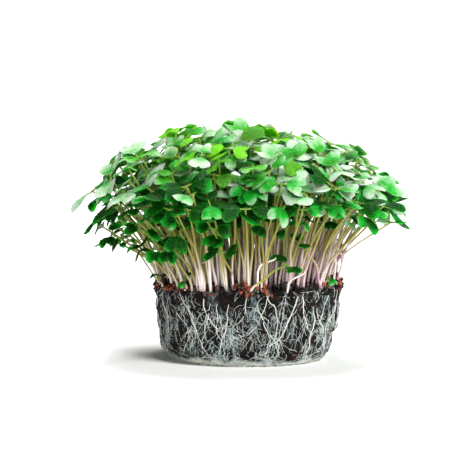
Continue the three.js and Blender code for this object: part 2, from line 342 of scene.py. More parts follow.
# Seedlings of the left side hang down nearly to the rim.
HANGING_ROUNDS = 8
HANGING_FROM_X = -12.0
HANGING_FAN = (1.1, 1.66)
HANGING_HEIGHTS = (62.0, 84.0)
HANGING_SIZE = 0.78
# Seedlings of the outermost tufts reach the crown's edge.
EDGE_ROUNDS = 3
EDGE_TUFTS = 18
EDGE_FAN = (1.5, 1.72)
EDGE_LOWEST = 87.0
EDGE_SAG = 15.0
EDGE_HIGHEST = 102.0
EDGE_SIZE = 0.9
# Low seedlings at the rim lean sideways across the others. The drift is how far they stand from the
# line between their tuft and the middle, in radians.
LEANING = 9
LEANING_DRIFT = 0.4
LEANING_SWAY = (16.0, 26.0)
LEANING_HEIGHTS = (54.0, 66.0)
LEANING_SIZE = 0.6
# Sprouts at the rim have just come up.
RIM_SPROUTS = 5
RIM_SPROUT_DRIFT = 0.5
RIM_SPROUT_REACH = (47.0, 51.0)
RIM_SPROUT_HEIGHTS = (45.0, 54.0)
RIM_SPROUT_SIZE = 0.42


def inside_frame(made):
    """True if a seedling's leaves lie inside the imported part's box."""
    places = np.vstack([on_leaf(leaf, PROBE_ALONG, PROBE_ACROSS) for leaf in made["leaves"]]) * MM
    return bool(np.all(places > CAD_LOW) and np.all(places < CAD_HIGH))


def resized(made, size):
    """The same seedling with its leaves that many times as large."""
    for leaf in made["leaves"]:
        leaf["size"] *= size
    return made


def add_extras(tufts):
    """Gives every tuft more seedlings, each from a spot of its own near the hole."""
    draw = draws(EXTRA_SEED)
    room = Room()
    for tuft in tufts:
        for made in tuft["seedlings"]:
            room.take(*probes(made, *EXTRA_FIT[1:3]))

    def spot_near(hole):
        """A place for a stem near a hole, still on the soil."""
        ring = ring_at(any_turn(draw))
        spot = hole + between(EXTRA_STRAY, draw()) * ring
        return spot * min(1, RIM_REACH / np.linalg.norm(spot))

    def turn_out(tuft, drift):
        """The turn of a tuft about the middle, moved by a share of the drift."""
        return math.atan2(tuft["hole"][1], tuft["hole"][0]) + drift * (draw() - 0.5)

    def tall(tuft, attempt):
        """One that reaches nearly to the dome."""
        lowered = EXTRA_FIRST * draw() + attempt * EXTRA_LOWER
        made = seedling(spot_near(tuft["hole"]), draw(), lowered, draw, EXTRA_LEAN)
        return resized(made, EXTRA_SIZE)

    def lower(tuft, fan, heights, size, sag=0.0):
        """One that ends between two heights, the lower of which sags towards the left and right."""
        spot = spot_near(tuft["hole"])
        lowest = heights[0] - sag * (spot[0] / RIM_REACH) ** 2
        tip = np.array([*(spot * between(fan, draw())), between((lowest, heights[1]), draw())])
        return resized(seedling_to(tip, spot, any_turn(draw), draw), size)

    def short(tuft, _):
        """One in the shade."""
        return lower(tuft, SHORT_FAN, SHORT_HEIGHTS, SHORT_SIZE)

    def hanging(tuft, _):
        """One that hangs down at the left."""
        return lower(tuft, HANGING_FAN, HANGING_HEIGHTS, HANGING_SIZE)

    def at_rim(tuft, _):
        """A sprout at the rim."""
        turn = turn_out(tuft, RIM_SPROUT_DRIFT)
        ring = ring_at(turn)
        tip = np.array([*(ring * between(RIM_SPROUT_REACH, draw())), between(RIM_SPROUT_HEIGHTS, draw())])
        return resized(seedling_to(tip, ring * RIM_REACH, turn, draw), RIM_SPROUT_SIZE)

    def edge(tuft, _):
        """One at the crown's edge."""
        return lower(tuft, EDGE_FAN, (EDGE_LOWEST, EDGE_HIGHEST), EDGE_SIZE, EDGE_SAG)

    def leaning(tuft, _):
        """A low one at the rim that leans sideways."""
        turn = turn_out(tuft, LEANING_DRIFT)
        ring = ring_at(turn)
        sway = between(LEANING_SWAY, draw()) * either_way(draw)
        tip = ring * RIM_REACH + sway * np.array([-ring[1], ring[0]])
        tip = np.array([*tip, between(LEANING_HEIGHTS, draw())])
        return resized(seedling_to(tip, ring * RIM_REACH, turn, draw), LEANING_SIZE)

    left = [tuft for tuft in tufts if tuft["hole"][0] < HANGING_FROM_X]
    plans = (
        [(tall, tufts)] * EXTRA_ROUNDS + [(short, tufts)] * SHORT_ROUNDS
        + [(hanging, left)] * HANGING_ROUNDS + [(edge, tufts[-EDGE_TUFTS:])] * EDGE_ROUNDS
        + [(leaning, tufts[-LEANING:]), (at_rim, tufts[-RIM_SPROUTS:])]
    )
    for rule, chosen in plans:
        for tuft in chosen:
            for made in settle(room, lambda attempt: rule(tuft, attempt), *EXTRA_FIT):
                if inside_frame(made):
                    tuft["seedlings"].append(made)


# Building helpers
def only(*objects):
    """Selects these objects and nothing else, the last of them active."""
    bpy.ops.object.select_all(action="DESELECT")
    for thing in objects:
        thing.select_set(True)
        bpy.context.view_layer.objects.active = thing


def select_faces(thing, test):
    """Enters edit mode with only the faces selected whose middle passes a test."""
    bpy.ops.object.mode_set(mode="EDIT")
    bpy.ops.mesh.select_mode(type="FACE")
    bpy.ops.mesh.select_all(action="DESELECT")
    bpy.ops.object.mode_set(mode="OBJECT")
    for face in thing.data.polygons:
        face.select = test(face.center)
    bpy.ops.object.mode_set(mode="EDIT")


def coordinates(mesh):
    """A mesh's vertices as rows of three numbers."""
    places = np.empty(len(mesh.vertices) * 3)
    mesh.vertices.foreach_get("co", places)
    return places.reshape(-1, 3)


def set_coordinates(mesh, places):
    """Moves a mesh's vertices to these places."""
    mesh.vertices.foreach_set("co", np.asarray(places, dtype=np.float64).ravel())
    mesh.update()


def set_attribute(mesh, name, values):
    """Gives a mesh a number for each vertex, which its material reads by name."""
    made = mesh.attributes.get(name) or mesh.attributes.new(name, "FLOAT", "POINT")
    made.data.foreach_set("value", np.asarray(values, dtype=np.float32))


def copies(name, template, placed, attributes=None):
    """One mesh of many copies of a template: placed holds each copy's vertices, in metres."""
    faces = [tuple(face.vertices) for face in template.polygons]
    step = len(template.vertices)
    places = np.concatenate(placed)
    all_faces = [
        tuple(corner + step * number for corner in face)
        for number in range(len(placed))
        for face in faces
    ]
    mesh = bpy.data.meshes.new(name)
    mesh.from_pydata(places.tolist(), [], all_faces)
    for attribute, values in (attributes or {}).items():
        set_attribute(mesh, attribute, values)
    mesh.shade_smooth()
    thing = bpy.data.objects.new(name, mesh)
    bpy.context.scene.collection.objects.link(thing)
    return thing


def strands(name, paths, widths, sides, tones):
    """Bevelled curves made one mesh. Paths are in metres, and widths are radii in millimetres.

    Each strand has a tone for its whole length, and its rise goes from 0 at its start to 1."""
    curve = bpy.data.curves.new(name, "CURVE")
    curve.dimensions = "3D"
    curve.bevel_depth = MM
    # A bevelled curve has four sides, and two more for each step of its resolution.
    curve.bevel_resolution = (sides - 4) // 2
    curve.use_fill_caps = False
    for path, width in zip(paths, widths):
        spline = curve.splines.new("POLY")
        spline.points.add(len(path) - 1)
        spline.points.foreach_set("co", np.column_stack([path, np.ones(len(path))]).ravel())
        spline.points.foreach_set("radius", np.asarray(width, dtype=np.float64))
    thing = bpy.data.objects.new(name, curve)
    bpy.context.scene.collection.objects.link(thing)
    only(thing)
    bpy.ops.object.convert(target="MESH")
    thing = bpy.context.view_layer.objects.active
    bpy.ops.object.mode_set(mode="EDIT")
    bpy.ops.mesh.select_all(action="SELECT")
    bpy.ops.mesh.fill_holes(sides=0)
    bpy.ops.object.mode_set(mode="OBJECT")
    rise = [np.repeat(np.linspace(0, 1, len(path)), sides) for path in paths]
    tone = [np.full(len(path) * sides, value) for path, value in zip(paths, tones)]
    set_attribute(thing.data, "rise", np.concatenate(rise))
    set_attribute(thing.data, "tone", np.concatenate(tone))
    thing.data.shade_smooth()
    return thing


def finish_piece(thing, material, replaced=()):
    """Gives a piece its material, unless it has its own, hangs it on the root body and hides the imported
    parts that it replaces.
    """
    if material:
        thing.data.materials.clear()
        thing.data.materials.append(material)
    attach(thing, "root")
    if replaced:
        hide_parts(*replaced)


# Colours and nodes
def linear(code):
    """A colour written as sRGB hex, such as "#3f7a2c", in the linear values that Blender uses."""
    parts = [int(code[i:i + 2], 16) / 255 for i in (1, 3, 5)]
    return tuple(p / 12.92 if p <= 0.04045 else ((p + 0.055) / 1.055) ** 2.4 for p in parts)


def add_node(tree, kind, inputs=None, **settings):
    """Adds a node. Each input is a constant or a socket to link; ramp holds (place, colour) stops."""
    node = tree.nodes.new(kind)
    ramp = settings.pop("ramp", None)
    for name, value in settings.items():
        setattr(node, name, value)
    if ramp:
        elements = node.color_ramp.elements
        while len(elements) < len(ramp):
            elements.new(0.5)
        for element, (place, colour) in zip(elements, ramp):
            element.position = place
            element.color = (*colour, 1)
    for name, value in (inputs or {}).items():
        socket = node.inputs[name]
        if isinstance(value, bpy.types.NodeSocket):
            tree.links.new(value, socket)
        elif socket.type == "RGBA":
            socket.default_value = (*value, 1)
        else:
            socket.default_value = value
    return node


def new_material(name):
    """A material with only a Principled shader, and its node tree."""
    material = bpy.data.materials.new(name)
    material.use_nodes = True
    tree = material.node_tree
    return material, tree, tree.nodes["Principled BSDF"]


def colour(name, description, code):
    """A colour that can be changed in the sidebar, from its sRGB hex value."""
    return bpy.props.FloatVectorProperty(
        name=name, description=description, subtype="COLOR", size=3, min=0, max=1,
        default=linear(code))


def length(name, description, millimetres, lowest, highest):
    """A length that can be changed in the sidebar, from its values in millimetres."""
    return bpy.props.FloatProperty(
        name=name, description=description, subtype="DISTANCE", unit="LENGTH",
        default=millimetres * MM, min=lowest * MM, max=highest * MM)


class ColourSettings(bpy.types.PropertyGroup):
    """The colours that a user would change"""
    leaf_deep: colour("Deep leaf", "Colour of the darkest blades", "#02360a")
    leaf_fresh: colour("Fresh leaf", "Colour of the commonest blades", "#0b8e26")
    # The mint and frost colours are partly a real waxy bloom and partly painted glare.
    leaf_mint_and_glare: colour("Mint leaf", "Colour of blades with the thickest bloom of wax", "#9fbf9e")
    leaf_frost_and_glare: colour("Frosted leaf", "Colour of a blade where its wax is nearly white", "#b8cab6")
    # The sunny colour is a painted glow of light shining through high blades, partly the real yellower
    # green of young blades. The veins use it too.
    leaf_sunny: colour(
        "Sunny leaf", "Yellow-green of thin young blades that light shines through", "#63b41c")
    stem_foot: colour("Stem foot", "Colour of stems near the soil", "#ede1da")
    stem_blush: colour("Stem blush", "Purple tint of some stems near the soil", "#ba8ea2")
    stem_middle: colour("Stem middle", "Olive colour of the middle of a stem", "#98903f")
    stem_top: colour("Stem top", "Green of the top of a stem and of the leaf stalks", "#588728")
    soil_dark: colour("Dark soil", "Wet peat in the hollows", "#070605")
    soil_brown: colour("Brown soil", "Crumbs that have begun to dry", "#382218")
    root_white: colour("White root", "Colour of the thick roots", "#ddddd3")
    root_haze: colour("Root haze", "Blue-grey colour of the finest roots over the soil", "#92a5a6")
    coat_red: colour("Seed coat", "Red-brown colour of the empty seed coats", "#98401c")
    floor: colour("Floor", "Colour of the plain floor", "#fdfdfc")


# Real sizes of the patterns, in millimetres. The finest are drawn as coarse as they need to show.
# The bloom patches are partly a real waxy bloom and partly painted glare.
BLOOM_AND_GLARE_PATCH = 7.7  # where the wax on a blade is thick or rubbed thin
VEIN_CELL = 1.61  # a mesh of the net of veins in a blade
SOIL_CLUMP = 2.38  # a clump of peat
HAZE_PATCH = 5.26  # a patch of roots too fine to model
ROOT_HAIR = 1.11  # the roots in such a patch, a fifth of this in truth
FELT_FIBRE = 1.67  # a bundle of fibres in the felt, a fifth of this in truth
# The colour sockets of a Mix node: its two inputs and its output.
MIX_A, MIX_B, MIX_OUT = 6, 7, 2


def scale_for(millimetres):
    """The scale of a noise or Voronoi pattern whose lumps or cells have this size."""
    return 1 / (millimetres * MM)


def leaf_material(colours):
    """Living seed leaf: a thin blade that lets light through, paled by a waxy bloom and by painted glare,
    with a painted highlight towards its edge.
    """
    material, tree, shader = new_material("seed_leaf_bloom_and_painted_glare")
    tone = add_node(tree, "ShaderNodeAttribute", attribute_name="tone").outputs["Fac"]
    warm = add_node(tree, "ShaderNodeAttribute", attribute_name="warm").outputs["Fac"]
    place = add_node(tree, "ShaderNodeTexCoord").outputs["Object"]
    # On the blade's own map, X is the share of its length and Y of its width, with the rib at 0.5.
    blade_map = add_node(tree, "ShaderNodeUVMap", uv_map="blade").outputs["UV"]
    share = add_node(tree, "ShaderNodeSeparateXYZ", {"Vector": blade_map})
    aside = add_node(
        tree, "ShaderNodeMath", {0: share.outputs["Y"], 1: 0.5}, operation="SUBTRACT").outputs[0]
    aside = add_node(tree, "ShaderNodeMath", {0: aside}, operation="ABSOLUTE").outputs[0]
    # The waxy bloom lies in patches that are partly painted glare. The blade is painted paler towards its
    # edge than near its stalk, as a painted edge highlight.
    bloom = add_node(
        tree, "ShaderNodeTexNoise",
        {"Vector": place, "Scale": scale_for(BLOOM_AND_GLARE_PATCH), "Detail": 3.5, "Roughness": 0.6},
    ).outputs["Fac"]
    mottle = add_node(tree, "ShaderNodeMath", {0: bloom, 1: 0.5}, operation="SUBTRACT").outputs[0]
    level = add_node(
        tree, "ShaderNodeMath", {0: mottle, 1: 1.2, 2: tone}, operation="MULTIPLY_ADD").outputs[0]
    reach = add_node(
        tree, "ShaderNodeMath", {0: aside, 1: 0.8, 2: share.outputs["X"]},
        operation="MULTIPLY_ADD").outputs[0]
    painted_edge_light = add_node(
        tree, "ShaderNodeMapRange",
        {"Value": reach, "From Min": 0.5, "From Max": 1.2, "To Min": -0.3, "To Max": 0.16},
    ).outputs["Result"]
    # The tone adds the painted edge light to the patchy bloom, which is partly painted glare.
    wax_and_glare = add_node(tree, "ShaderNodeMath", {0: level, 1: painted_edge_light}, operation="ADD").outputs[0]
    # The pale end of the ramp is partly a real waxy bloom and partly painted glare.
    blade = add_node(
        tree, "ShaderNodeValToRGB", {"Fac": wax_and_glare},
        ramp=[
            (0.0, colours.leaf_deep), (0.42, colours.leaf_fresh),
            (0.85, colours.leaf_mint_and_glare), (1.0, colours.leaf_frost_and_glare)]).outputs["Color"]
    # Painted backlight glow: high blades are mixed towards the sunny yellow-green, partly their real
    # young colour.
    blade = add_node(
        tree, "ShaderNodeMix", {"Factor": warm, MIX_A: blade, MIX_B: colours.leaf_sunny},
        data_type="RGBA").outputs[MIX_OUT]
    # The rib and the net of veins are yellower than the blade.
    veins = add_node(
        tree, "ShaderNodeTexVoronoi", {"Vector": place, "Scale": scale_for(VEIN_CELL)},
        feature="DISTANCE_TO_EDGE").outputs["Distance"]
    net = add_node(
        tree, "ShaderNodeMapRange",
        {"Value": veins, "From Min": 0.0, "From Max": 0.09, "To Min": 0.07, "To Max": 0.0},
    ).outputs["Result"]
    rib = add_node(
        tree, "ShaderNodeMapRange",
        {"Value": aside, "From Min": 0.0, "From Max": 0.04, "To Min": 0.12, "To Max": 0.0},
    ).outputs["Result"]
    lines = add_node(tree, "ShaderNodeMath", {0: rib, 1: net}, operation="ADD").outputs[0]
    blade = add_node(
        tree, "ShaderNodeMix", {"Factor": lines, MIX_A: blade, MIX_B: colours.leaf_sunny},
        data_type="RGBA").outputs[MIX_OUT]
    tree.links.new(blade, shader.inputs["Base Color"])
    relief = add_node(
        tree, "ShaderNodeMath", {0: veins, 1: 0.5, 2: bloom}, operation="MULTIPLY_ADD").outputs[0]
    bump = add_node(
        tree, "ShaderNodeBump", {"Height": relief, "Strength": 0.5, "Distance": 2.5 * MM})
    tree.links.new(bump.outputs["Normal"], shader.inputs["Normal"])
    shader.inputs["Roughness"].default_value = 0.42
    shader.inputs["IOR"].default_value = 1.42
    shader.inputs["Specular IOR Level"].default_value = 0.1
    shader.inputs["Subsurface Weight"].default_value = 0.5
    shader.inputs["Subsurface Radius"].default_value = (0.5, 1.0, 0.2)
    shader.inputs["Subsurface Scale"].default_value = 2 * MM
    return material


def stem_material(colours):
    """Living stem: juicy, half-translucent skin, pale and purple-tinted at the foot, green at the top."""
    material, tree, shader = new_material("seedling_stem_juicy_skin")
    tone = add_node(tree, "ShaderNodeAttribute", attribute_name="tone").outputs["Fac"]
    rise = add_node(tree, "ShaderNodeAttribute", attribute_name="rise").outputs["Fac"]
    low = add_node(
        tree, "ShaderNodeMapRange", {"Value": rise, "From Min": 0.08, "From Max": 0.5})
    high = add_node(
        tree, "ShaderNodeMapRange", {"Value": rise, "From Min": 0.55, "From Max": 1.1})
    skin = add_node(
        tree, "ShaderNodeMix", {"Factor": tone, MIX_A: colours.stem_foot, MIX_B: colours.stem_blush},
        data_type="RGBA").outputs[MIX_OUT]
    for share, colour_above in ((low, colours.stem_middle), (high, colours.stem_top)):
        skin = add_node(
            tree, "ShaderNodeMix",
            {"Factor": share.outputs["Result"], MIX_A: skin, MIX_B: colour_above},
            data_type="RGBA").outputs[MIX_OUT]
    tree.links.new(skin, shader.inputs["Base Color"])
    shader.inputs["Roughness"].default_value = 0.35
    shader.inputs["IOR"].default_value = 1.4
    shader.inputs["Subsurface Weight"].default_value = 0.3
    shader.inputs["Subsurface Radius"].default_value = (1.0, 0.7, 0.4)
    shader.inputs["Subsurface Scale"].default_value = 1 * MM
    return material


def soil_material(colours):
    """Moist peat and coir: matt crumbs from black to brown, hazed by roots too fine to model."""
    material, tree, shader = new_material("moist_peat_crumbs")
    place = add_node(tree, "ShaderNodeTexCoord").outputs["Object"]
    clumps = add_node(
        tree, "ShaderNodeTexNoise",
        {"Vector": place, "Scale": scale_for(SOIL_CLUMP), "Detail": 4.0}).outputs["Fac"]
    soil = add_node(
        tree, "ShaderNodeValToRGB", {"Fac": clumps},
        ramp=[(0.5, colours.soil_dark), (0.78, colours.soil_brown)]).outputs["Color"]
    # The haze of fine roots is drawn out downwards, in patches that thin out towards the rim.
    drawn = add_node(
        tree, "ShaderNodeMapping", {"Vector": place, "Scale": (1.0, 1.0, 0.4)}).outputs["Vector"]
    patches = add_node(
        tree, "ShaderNodeTexNoise",
        {"Vector": drawn, "Scale": scale_for(HAZE_PATCH), "Detail": 3.0}).outputs["Fac"]
    hairs = add_node(
        tree, "ShaderNodeTexNoise",
        {"Vector": drawn, "Scale": scale_for(ROOT_HAIR), "Detail": 3.0}).outputs["Fac"]
    height = add_node(tree, "ShaderNodeSeparateXYZ", {"Vector": place}).outputs["Z"]
    below = add_node(
        tree, "ShaderNodeMapRange",
        {"Value": height, "From Min": 6 * MM, "From Max": 40.5 * MM, "To Min": 1.0, "To Max": 0.45})
    where = add_node(
        tree, "ShaderNodeMapRange", {"Value": patches, "From Min": 0.52, "From Max": 0.63})
    fine = add_node(
        tree, "ShaderNodeMapRange",
        {"Value": hairs, "From Min": 0.42, "From Max": 0.62, "To Max": 0.8})
    haze = where.outputs["Result"]
    for share in (fine, below):
        haze = add_node(
            tree, "ShaderNodeMath", {0: haze, 1: share.outputs["Result"]},
            operation="MULTIPLY").outputs[0]
    # At the foot the roots lie close together, up to a ragged line.
    ragged = add_node(
        tree, "ShaderNodeMath", {0: patches, 1: 8 * MM}, operation="MULTIPLY").outputs[0]
    above_line = add_node(
        tree, "ShaderNodeMath", {0: height, 1: ragged}, operation="SUBTRACT").outputs[0]
    foot = add_node(
        tree, "ShaderNodeMapRange",
        {"Value": above_line, "From Min": -2 * MM, "From Max": 1 * MM, "To Min": 0.9, "To Max": 0.0},
    ).outputs["Result"]
    haze = add_node(tree, "ShaderNodeMath", {0: haze, 1: foot}, operation="MAXIMUM").outputs[0]
    fibre = add_node(
        tree, "ShaderNodeMix", {"Factor": foot, MIX_A: colours.root_haze, MIX_B: colours.root_white},
        data_type="RGBA").outputs[MIX_OUT]
    soil = add_node(
        tree, "ShaderNodeMix", {"Factor": haze, MIX_A: soil, MIX_B: fibre},
        data_type="RGBA").outputs[MIX_OUT]
    tree.links.new(soil, shader.inputs["Base Color"])
    bump = add_node(
        tree, "ShaderNodeBump", {"Height": clumps, "Strength": 0.8, "Distance": 1.2 * MM})
    tree.links.new(bump.outputs["Normal"], shader.inputs["Normal"])
    shader.inputs["Roughness"].default_value = 0.85
    shader.inputs["Specular IOR Level"].default_value = 0.15
    return material


def root_material(colours, name, roughness):
    """Living root: white fibre that lets a little light through; the finest look duller and hazier."""
    material, tree, shader = new_material(name)
    tone = add_node(tree, "ShaderNodeAttribute", attribute_name="tone").outputs["Fac"]
    white = add_node(
        tree, "ShaderNodeMix", {"Factor": tone, MIX_A: colours.root_white, MIX_B: colours.root_haze},
        data_type="RGBA").outputs[MIX_OUT]
    tree.links.new(white, shader.inputs["Base Color"])
    shader.inputs["Roughness"].default_value = roughness
    shader.inputs["Subsurface Weight"].default_value = 0.2
    shader.inputs["Subsurface Radius"].default_value = (1.0, 0.9, 0.8)
    shader.inputs["Subsurface Scale"].default_value = 0.8 * MM
    return material


def felt_material(colours):
    """Felt of pressed roots: matt, greenish white, with the soil showing through in specks."""
    material, tree, shader = new_material("pressed_root_felt")
    place = add_node(tree, "ShaderNodeTexCoord").outputs["Object"]
    fibre = add_node(
        tree, "ShaderNodeTexNoise",
        {"Vector": place, "Scale": scale_for(FELT_FIBRE), "Detail": 4.0}).outputs["Fac"]
    felt = add_node(
        tree, "ShaderNodeValToRGB", {"Fac": fibre},
        ramp=[(0.32, colours.soil_brown), (0.4, colours.root_haze), (0.52, colours.root_white)])
    tree.links.new(felt.outputs["Color"], shader.inputs["Base Color"])
    bump = add_node(
        tree, "ShaderNodeBump", {"Height": fibre, "Strength": 0.6, "Distance": 0.8 * MM})
    tree.links.new(bump.outputs["Normal"], shader.inputs["Normal"])
    shader.inputs["Roughness"].default_value = 0.85
    return material


def coat_material(colours):
    """Empty seed coat: thin, papery and red-brown, and darker the longer it has lain in the wet."""
    material, tree, shader = new_material("papery_seed_coat")
    tone = add_node(tree, "ShaderNodeAttribute", attribute_name="tone").outputs["Fac"]
    coat = add_node(
        tree, "ShaderNodeMix", {"Factor": tone, MIX_A: colours.coat_red, MIX_B: colours.soil_brown},
        data_type="RGBA").outputs[MIX_OUT]
    tree.links.new(coat, shader.inputs["Base Color"])
    shader.inputs["Roughness"].default_value = 0.5
    return material


def floor_material(colours):
    """Plain painted board, matt and nearly white."""
    material, _, shader = new_material("matt_white_floor")
    shader.inputs["Base Color"].default_value = (*colours.floor, 1)
    shader.inputs["Roughness"].default_value = 0.9
    return material


class SizeSettings(bpy.types.PropertyGroup):
    """The sizes and numbers that a user would change"""
    stem_foot: length("Stem at the foot", "Radius of a stem where it leaves the soil", 0.85, 0.2, 2)
    stem_tip: length("Stem at the tip", "Radius of a stem under its leaves", 0.5, 0.2, 2)
    stem_wave: length("Stem wave", "How far a stem wanders from its smooth curve", 1.3, 0, 4)
    blade: length("Blade thickness", "Thickness of a leaf blade", 0.55, 0.2, 2)
    crumb: length("Crumb", "Radius of a middling crumb of soil", 0.9, 0.2, 3)
    crumbs: bpy.props.IntProperty(
        name="Crumbs", description="Number of loose crumbs on the soil", default=1800, min=0, max=3000)
    coat: length("Seed coat", "Radius of an empty seed coat", 1.6, 0.5, 4)
    coats: bpy.props.IntProperty(
        name="Seed coats", description="Number of seed coats on the soil", default=680, min=0, max=900)
    main_root: length(
        "Main root", "Radius of the thickest roots on the side of the block", 0.26, 0.1, 2)
    main_roots: bpy.props.IntProperty(
        name="Main roots", description="Number of thick roots", default=56, min=0, max=400)
    fine_root: length("Fine root", "Radius of a fine root", 0.12, 0.05, 1)
    fine_roots: bpy.props.IntProperty(
        name="Fine roots", description="Number of fine roots", default=1000, min=0, max=3000)
    camera_distance: bpy.props.FloatProperty(
        name="Camera distance", description="From the middle of the plant to the lens",
        subtype="DISTANCE", unit="LENGTH", default=1.8, min=0.1, max=5)
    camera_angle: bpy.props.FloatProperty(
        name="Camera angle", description="How steeply the lens looks down",
        subtype="ANGLE", unit="ROTATION", default=math.radians(5.2), min=0, max=math.radians(80))


# Soil
SOIL_TOP = BLOCK_HEIGHT * MM
SOIL_FLOOR = 0.8 * MM
SOIL_TOP_RADIUS = 49.8 * MM
SOIL_BASE_RADIUS = 45.8 * MM
# The faces whose middle is this near the block's floor or top are the floor and the top.
SOIL_FLAT = 0.1 * MM
SOIL_SIDES = 72
SOIL_VOXEL = 0.85 * MM
SOIL_ROUND = 8 * MM
SOIL_RIM_ROUND = 1.6 * MM
# Clouds that roughen the block: size of a lump and how far it moves the surface.
SOIL_LUMPS = ((9 * MM, 2.2 * MM), (3.2 * MM, 1.5 * MM), (1.3 * MM, 0.8 * MM))
# Soil is missing low on the right: where it begins, and how far the side steps in.
STEP_HEIGHT = 16 * MM
STEP_FROM_X = 41 * MM
STEP_IN = 2.4 * MM


def upright_cylinder(name, sides, radius, low, high):
    """A cylinder between two heights, with its place in its mesh."""
    bpy.ops.object.select_all(action="DESELECT")
    bpy.ops.mesh.primitive_cylinder_add(
        vertices=sides, radius=radius, depth=high - low, location=(0, 0, low + (high - low) / 2))
    made = bpy.context.view_layer.objects.active
    made.name = made.data.name = name
    bpy.ops.object.transform_apply(location=True, rotation=True, scale=True)
    return made


def voxels(thing, size):
    """Makes an even skin of small faces over a mesh."""
    modifier = thing.modifiers.new("voxels", "REMESH")
    modifier.mode = "VOXEL"
    modifier.voxel_size = size
    only(thing)
    bpy.ops.object.modifier_apply(modifier="voxels")


def displace(thing, name, size, strength):
    """Roughens a mesh along its normals with a procedural cloud, and applies it."""
    texture = bpy.data.textures.new(name, "CLOUDS")
    texture.noise_scale = size
    modifier = thing.modifiers.new(name, "DISPLACE")
    modifier.texture = texture
    modifier.texture_coords = "LOCAL"
    modifier.strength = strength
    modifier.mid_level = 0.5
    only(thing)
    bpy.ops.object.modifier_apply(modifier=name)
    bpy.data.textures.remove(texture)


def make_soil():
    """The block: a tapered cylinder with rounded edges, a step on the right and a crumbly skin."""
    soil = upright_cylinder("soil", SOIL_SIDES, SOIL_TOP_RADIUS, SOIL_FLOOR, SOIL_TOP)
    taper = SOIL_BASE_RADIUS / SOIL_TOP_RADIUS
    select_faces(soil, lambda place: place.z < SOIL_FLOOR + SOIL_FLAT)
    bpy.ops.transform.resize(value=(taper, taper, 1), center_override=(0, 0, SOIL_FLOOR))
    bpy.ops.mesh.bevel(offset=SOIL_ROUND, segments=6, affect="EDGES")
    bpy.ops.object.mode_set(mode="OBJECT")
    select_faces(soil, lambda place: place.z > SOIL_TOP - SOIL_FLAT)
    bpy.ops.mesh.bevel(offset=SOIL_RIM_ROUND, segments=2, affect="EDGES")
    bpy.ops.object.mode_set(mode="OBJECT")
    voxels(soil, SOIL_VOXEL)
    select_faces(soil, lambda place: place.x > STEP_FROM_X and place.z < STEP_HEIGHT)
    bpy.ops.transform.translate(value=(-STEP_IN, 0, 0))
    bpy.ops.object.mode_set(mode="OBJECT")
    for number, (size, strength) in enumerate(SOIL_LUMPS):
        displace(soil, f"lumps_{number}", size, strength)
    return soil


# Places on the skin of the block, from a turn round it and a way down over its rim.
RIM_RADIUS = 49.0
FOOT_RADIUS = 45.5
# Each place is found by a ray that comes in from far off towards a ring inside the block.
SKIN_CORE_REACH = 34.0
SKIN_CORE_DEPTH = 6.0
SKIN_CORE_HEIGHT = 20.0
SKIN_FAR = 80.0


def skin_point(tree, turn, down, out):
    """The skin's point at a turn and a way down from the rim, moved out by a distance.

    The way down and the distance are in millimetres. A way down below 0 lies in from the rim, on the
    top, and one past the block's height lies under it."""
    if down < 0:
        reach, height = RIM_RADIUS + down, BLOCK_HEIGHT
    elif down < BLOCK_HEIGHT:
        reach = RIM_RADIUS + (FOOT_RADIUS - RIM_RADIUS) * down / BLOCK_HEIGHT
        height = BLOCK_HEIGHT - down
    else:
        reach, height = FOOT_RADIUS - (down - BLOCK_HEIGHT), 0.0
    ring = np.append(ring_at(turn), 0.0)
    core = min(SKIN_CORE_REACH, reach - SKIN_CORE_DEPTH)
    core_point = ring * core + (0, 0, SKIN_CORE_HEIGHT)
    way = unit(ring * reach + (0, 0, height) - core_point)
    hit, normal, _, _ = tree.ray_cast(Vector((core_point + way * SKIN_FAR) * MM), Vector(-way))
    if hit is None:
        return None
    return np.array(hit + normal * (out * MM))


def skin_of(soil):
    """The soil's faces, ready for rays."""
    return BVHTree.FromObject(soil, bpy.context.evaluated_depsgraph_get())


# Roots grow over the side of the block. Thick ones run down it, and each order branches from the last.
# Lengths are in millimetres, angles in radians, and widths are shares of the root's own.
ROOT_SEED = 301
ROOT_STEP = 1.9
ROOT_STOP = BLOCK_HEIGHT + 3
SHORTEST_ROOT = 3
# At each step a root is pulled back downwards, and near the foot it is pulled round the block.
ROOT_DOWN_PULL = 0.08
ROOT_CIRCLING = 8.0
ROOT_CIRCLING_PULL = 0.3
# A root lies half sunk in the soil and dips in and out of it in waves, each step this far along one.
ROOT_RISE = 0.15
ROOT_DIP_TURN = 1.1
# It starts thin, swells soon and then tapers.
ROOT_SIZES = (0.7, 1.3)
ROOT_START_WIDTH = 0.4
ROOT_SWELLING = 3
ROOT_TAPER = 1.5
# Main roots start at the rim and run down.
MAIN_DIP = 0.6
MAIN_SIDES = 6
MAIN_END = 0.45
MAIN_TONES = (0.0, 0.4)
MAIN_DOWN = (-3.0, 12.0)
MAIN_STEPS = (13, 25)
MAIN_HEADING = 0.7
MAIN_WANDER = 0.75
# Branches leave the main roots, and finer ones leave the branches, anywhere but near their ends.
BRANCHES = (
    {"count": (4, 8), "steps": (4, 13), "wander": 0.7, "turn": (0.35, 0.9), "width": 0.6},
    {"count": (1, 4), "steps": (3, 9), "wander": 0.9, "turn": (0.4, 1.2), "width": 0.75},
)
BRANCH_FIRST = 0.1
BRANCH_RANGE = 0.85
BRANCH_DIP = 1.0
BRANCH_SIDES = 4
BRANCH_END = 0.5
BRANCH_TONES = (0.1, 1.0)
# The web: fine roots in patches, each a short way in any direction.
WEB_SEED = 407
WEB_PATCHES = 72
WEB_SPREAD = 6.0
WEB_TALLER = 1.6
WEB_DOWN = (-5.0, 39.0)
WEB_STEP = 1.3
WEB_STEPS = (4, 10)
WEB_HEADING = 2.4
WEB_WANDER = 1.2
WEB_DIP = 1.1
WEB_SIDES = 4
WEB_END = 0.6
WEB_TONES = (0.2, 1.0)


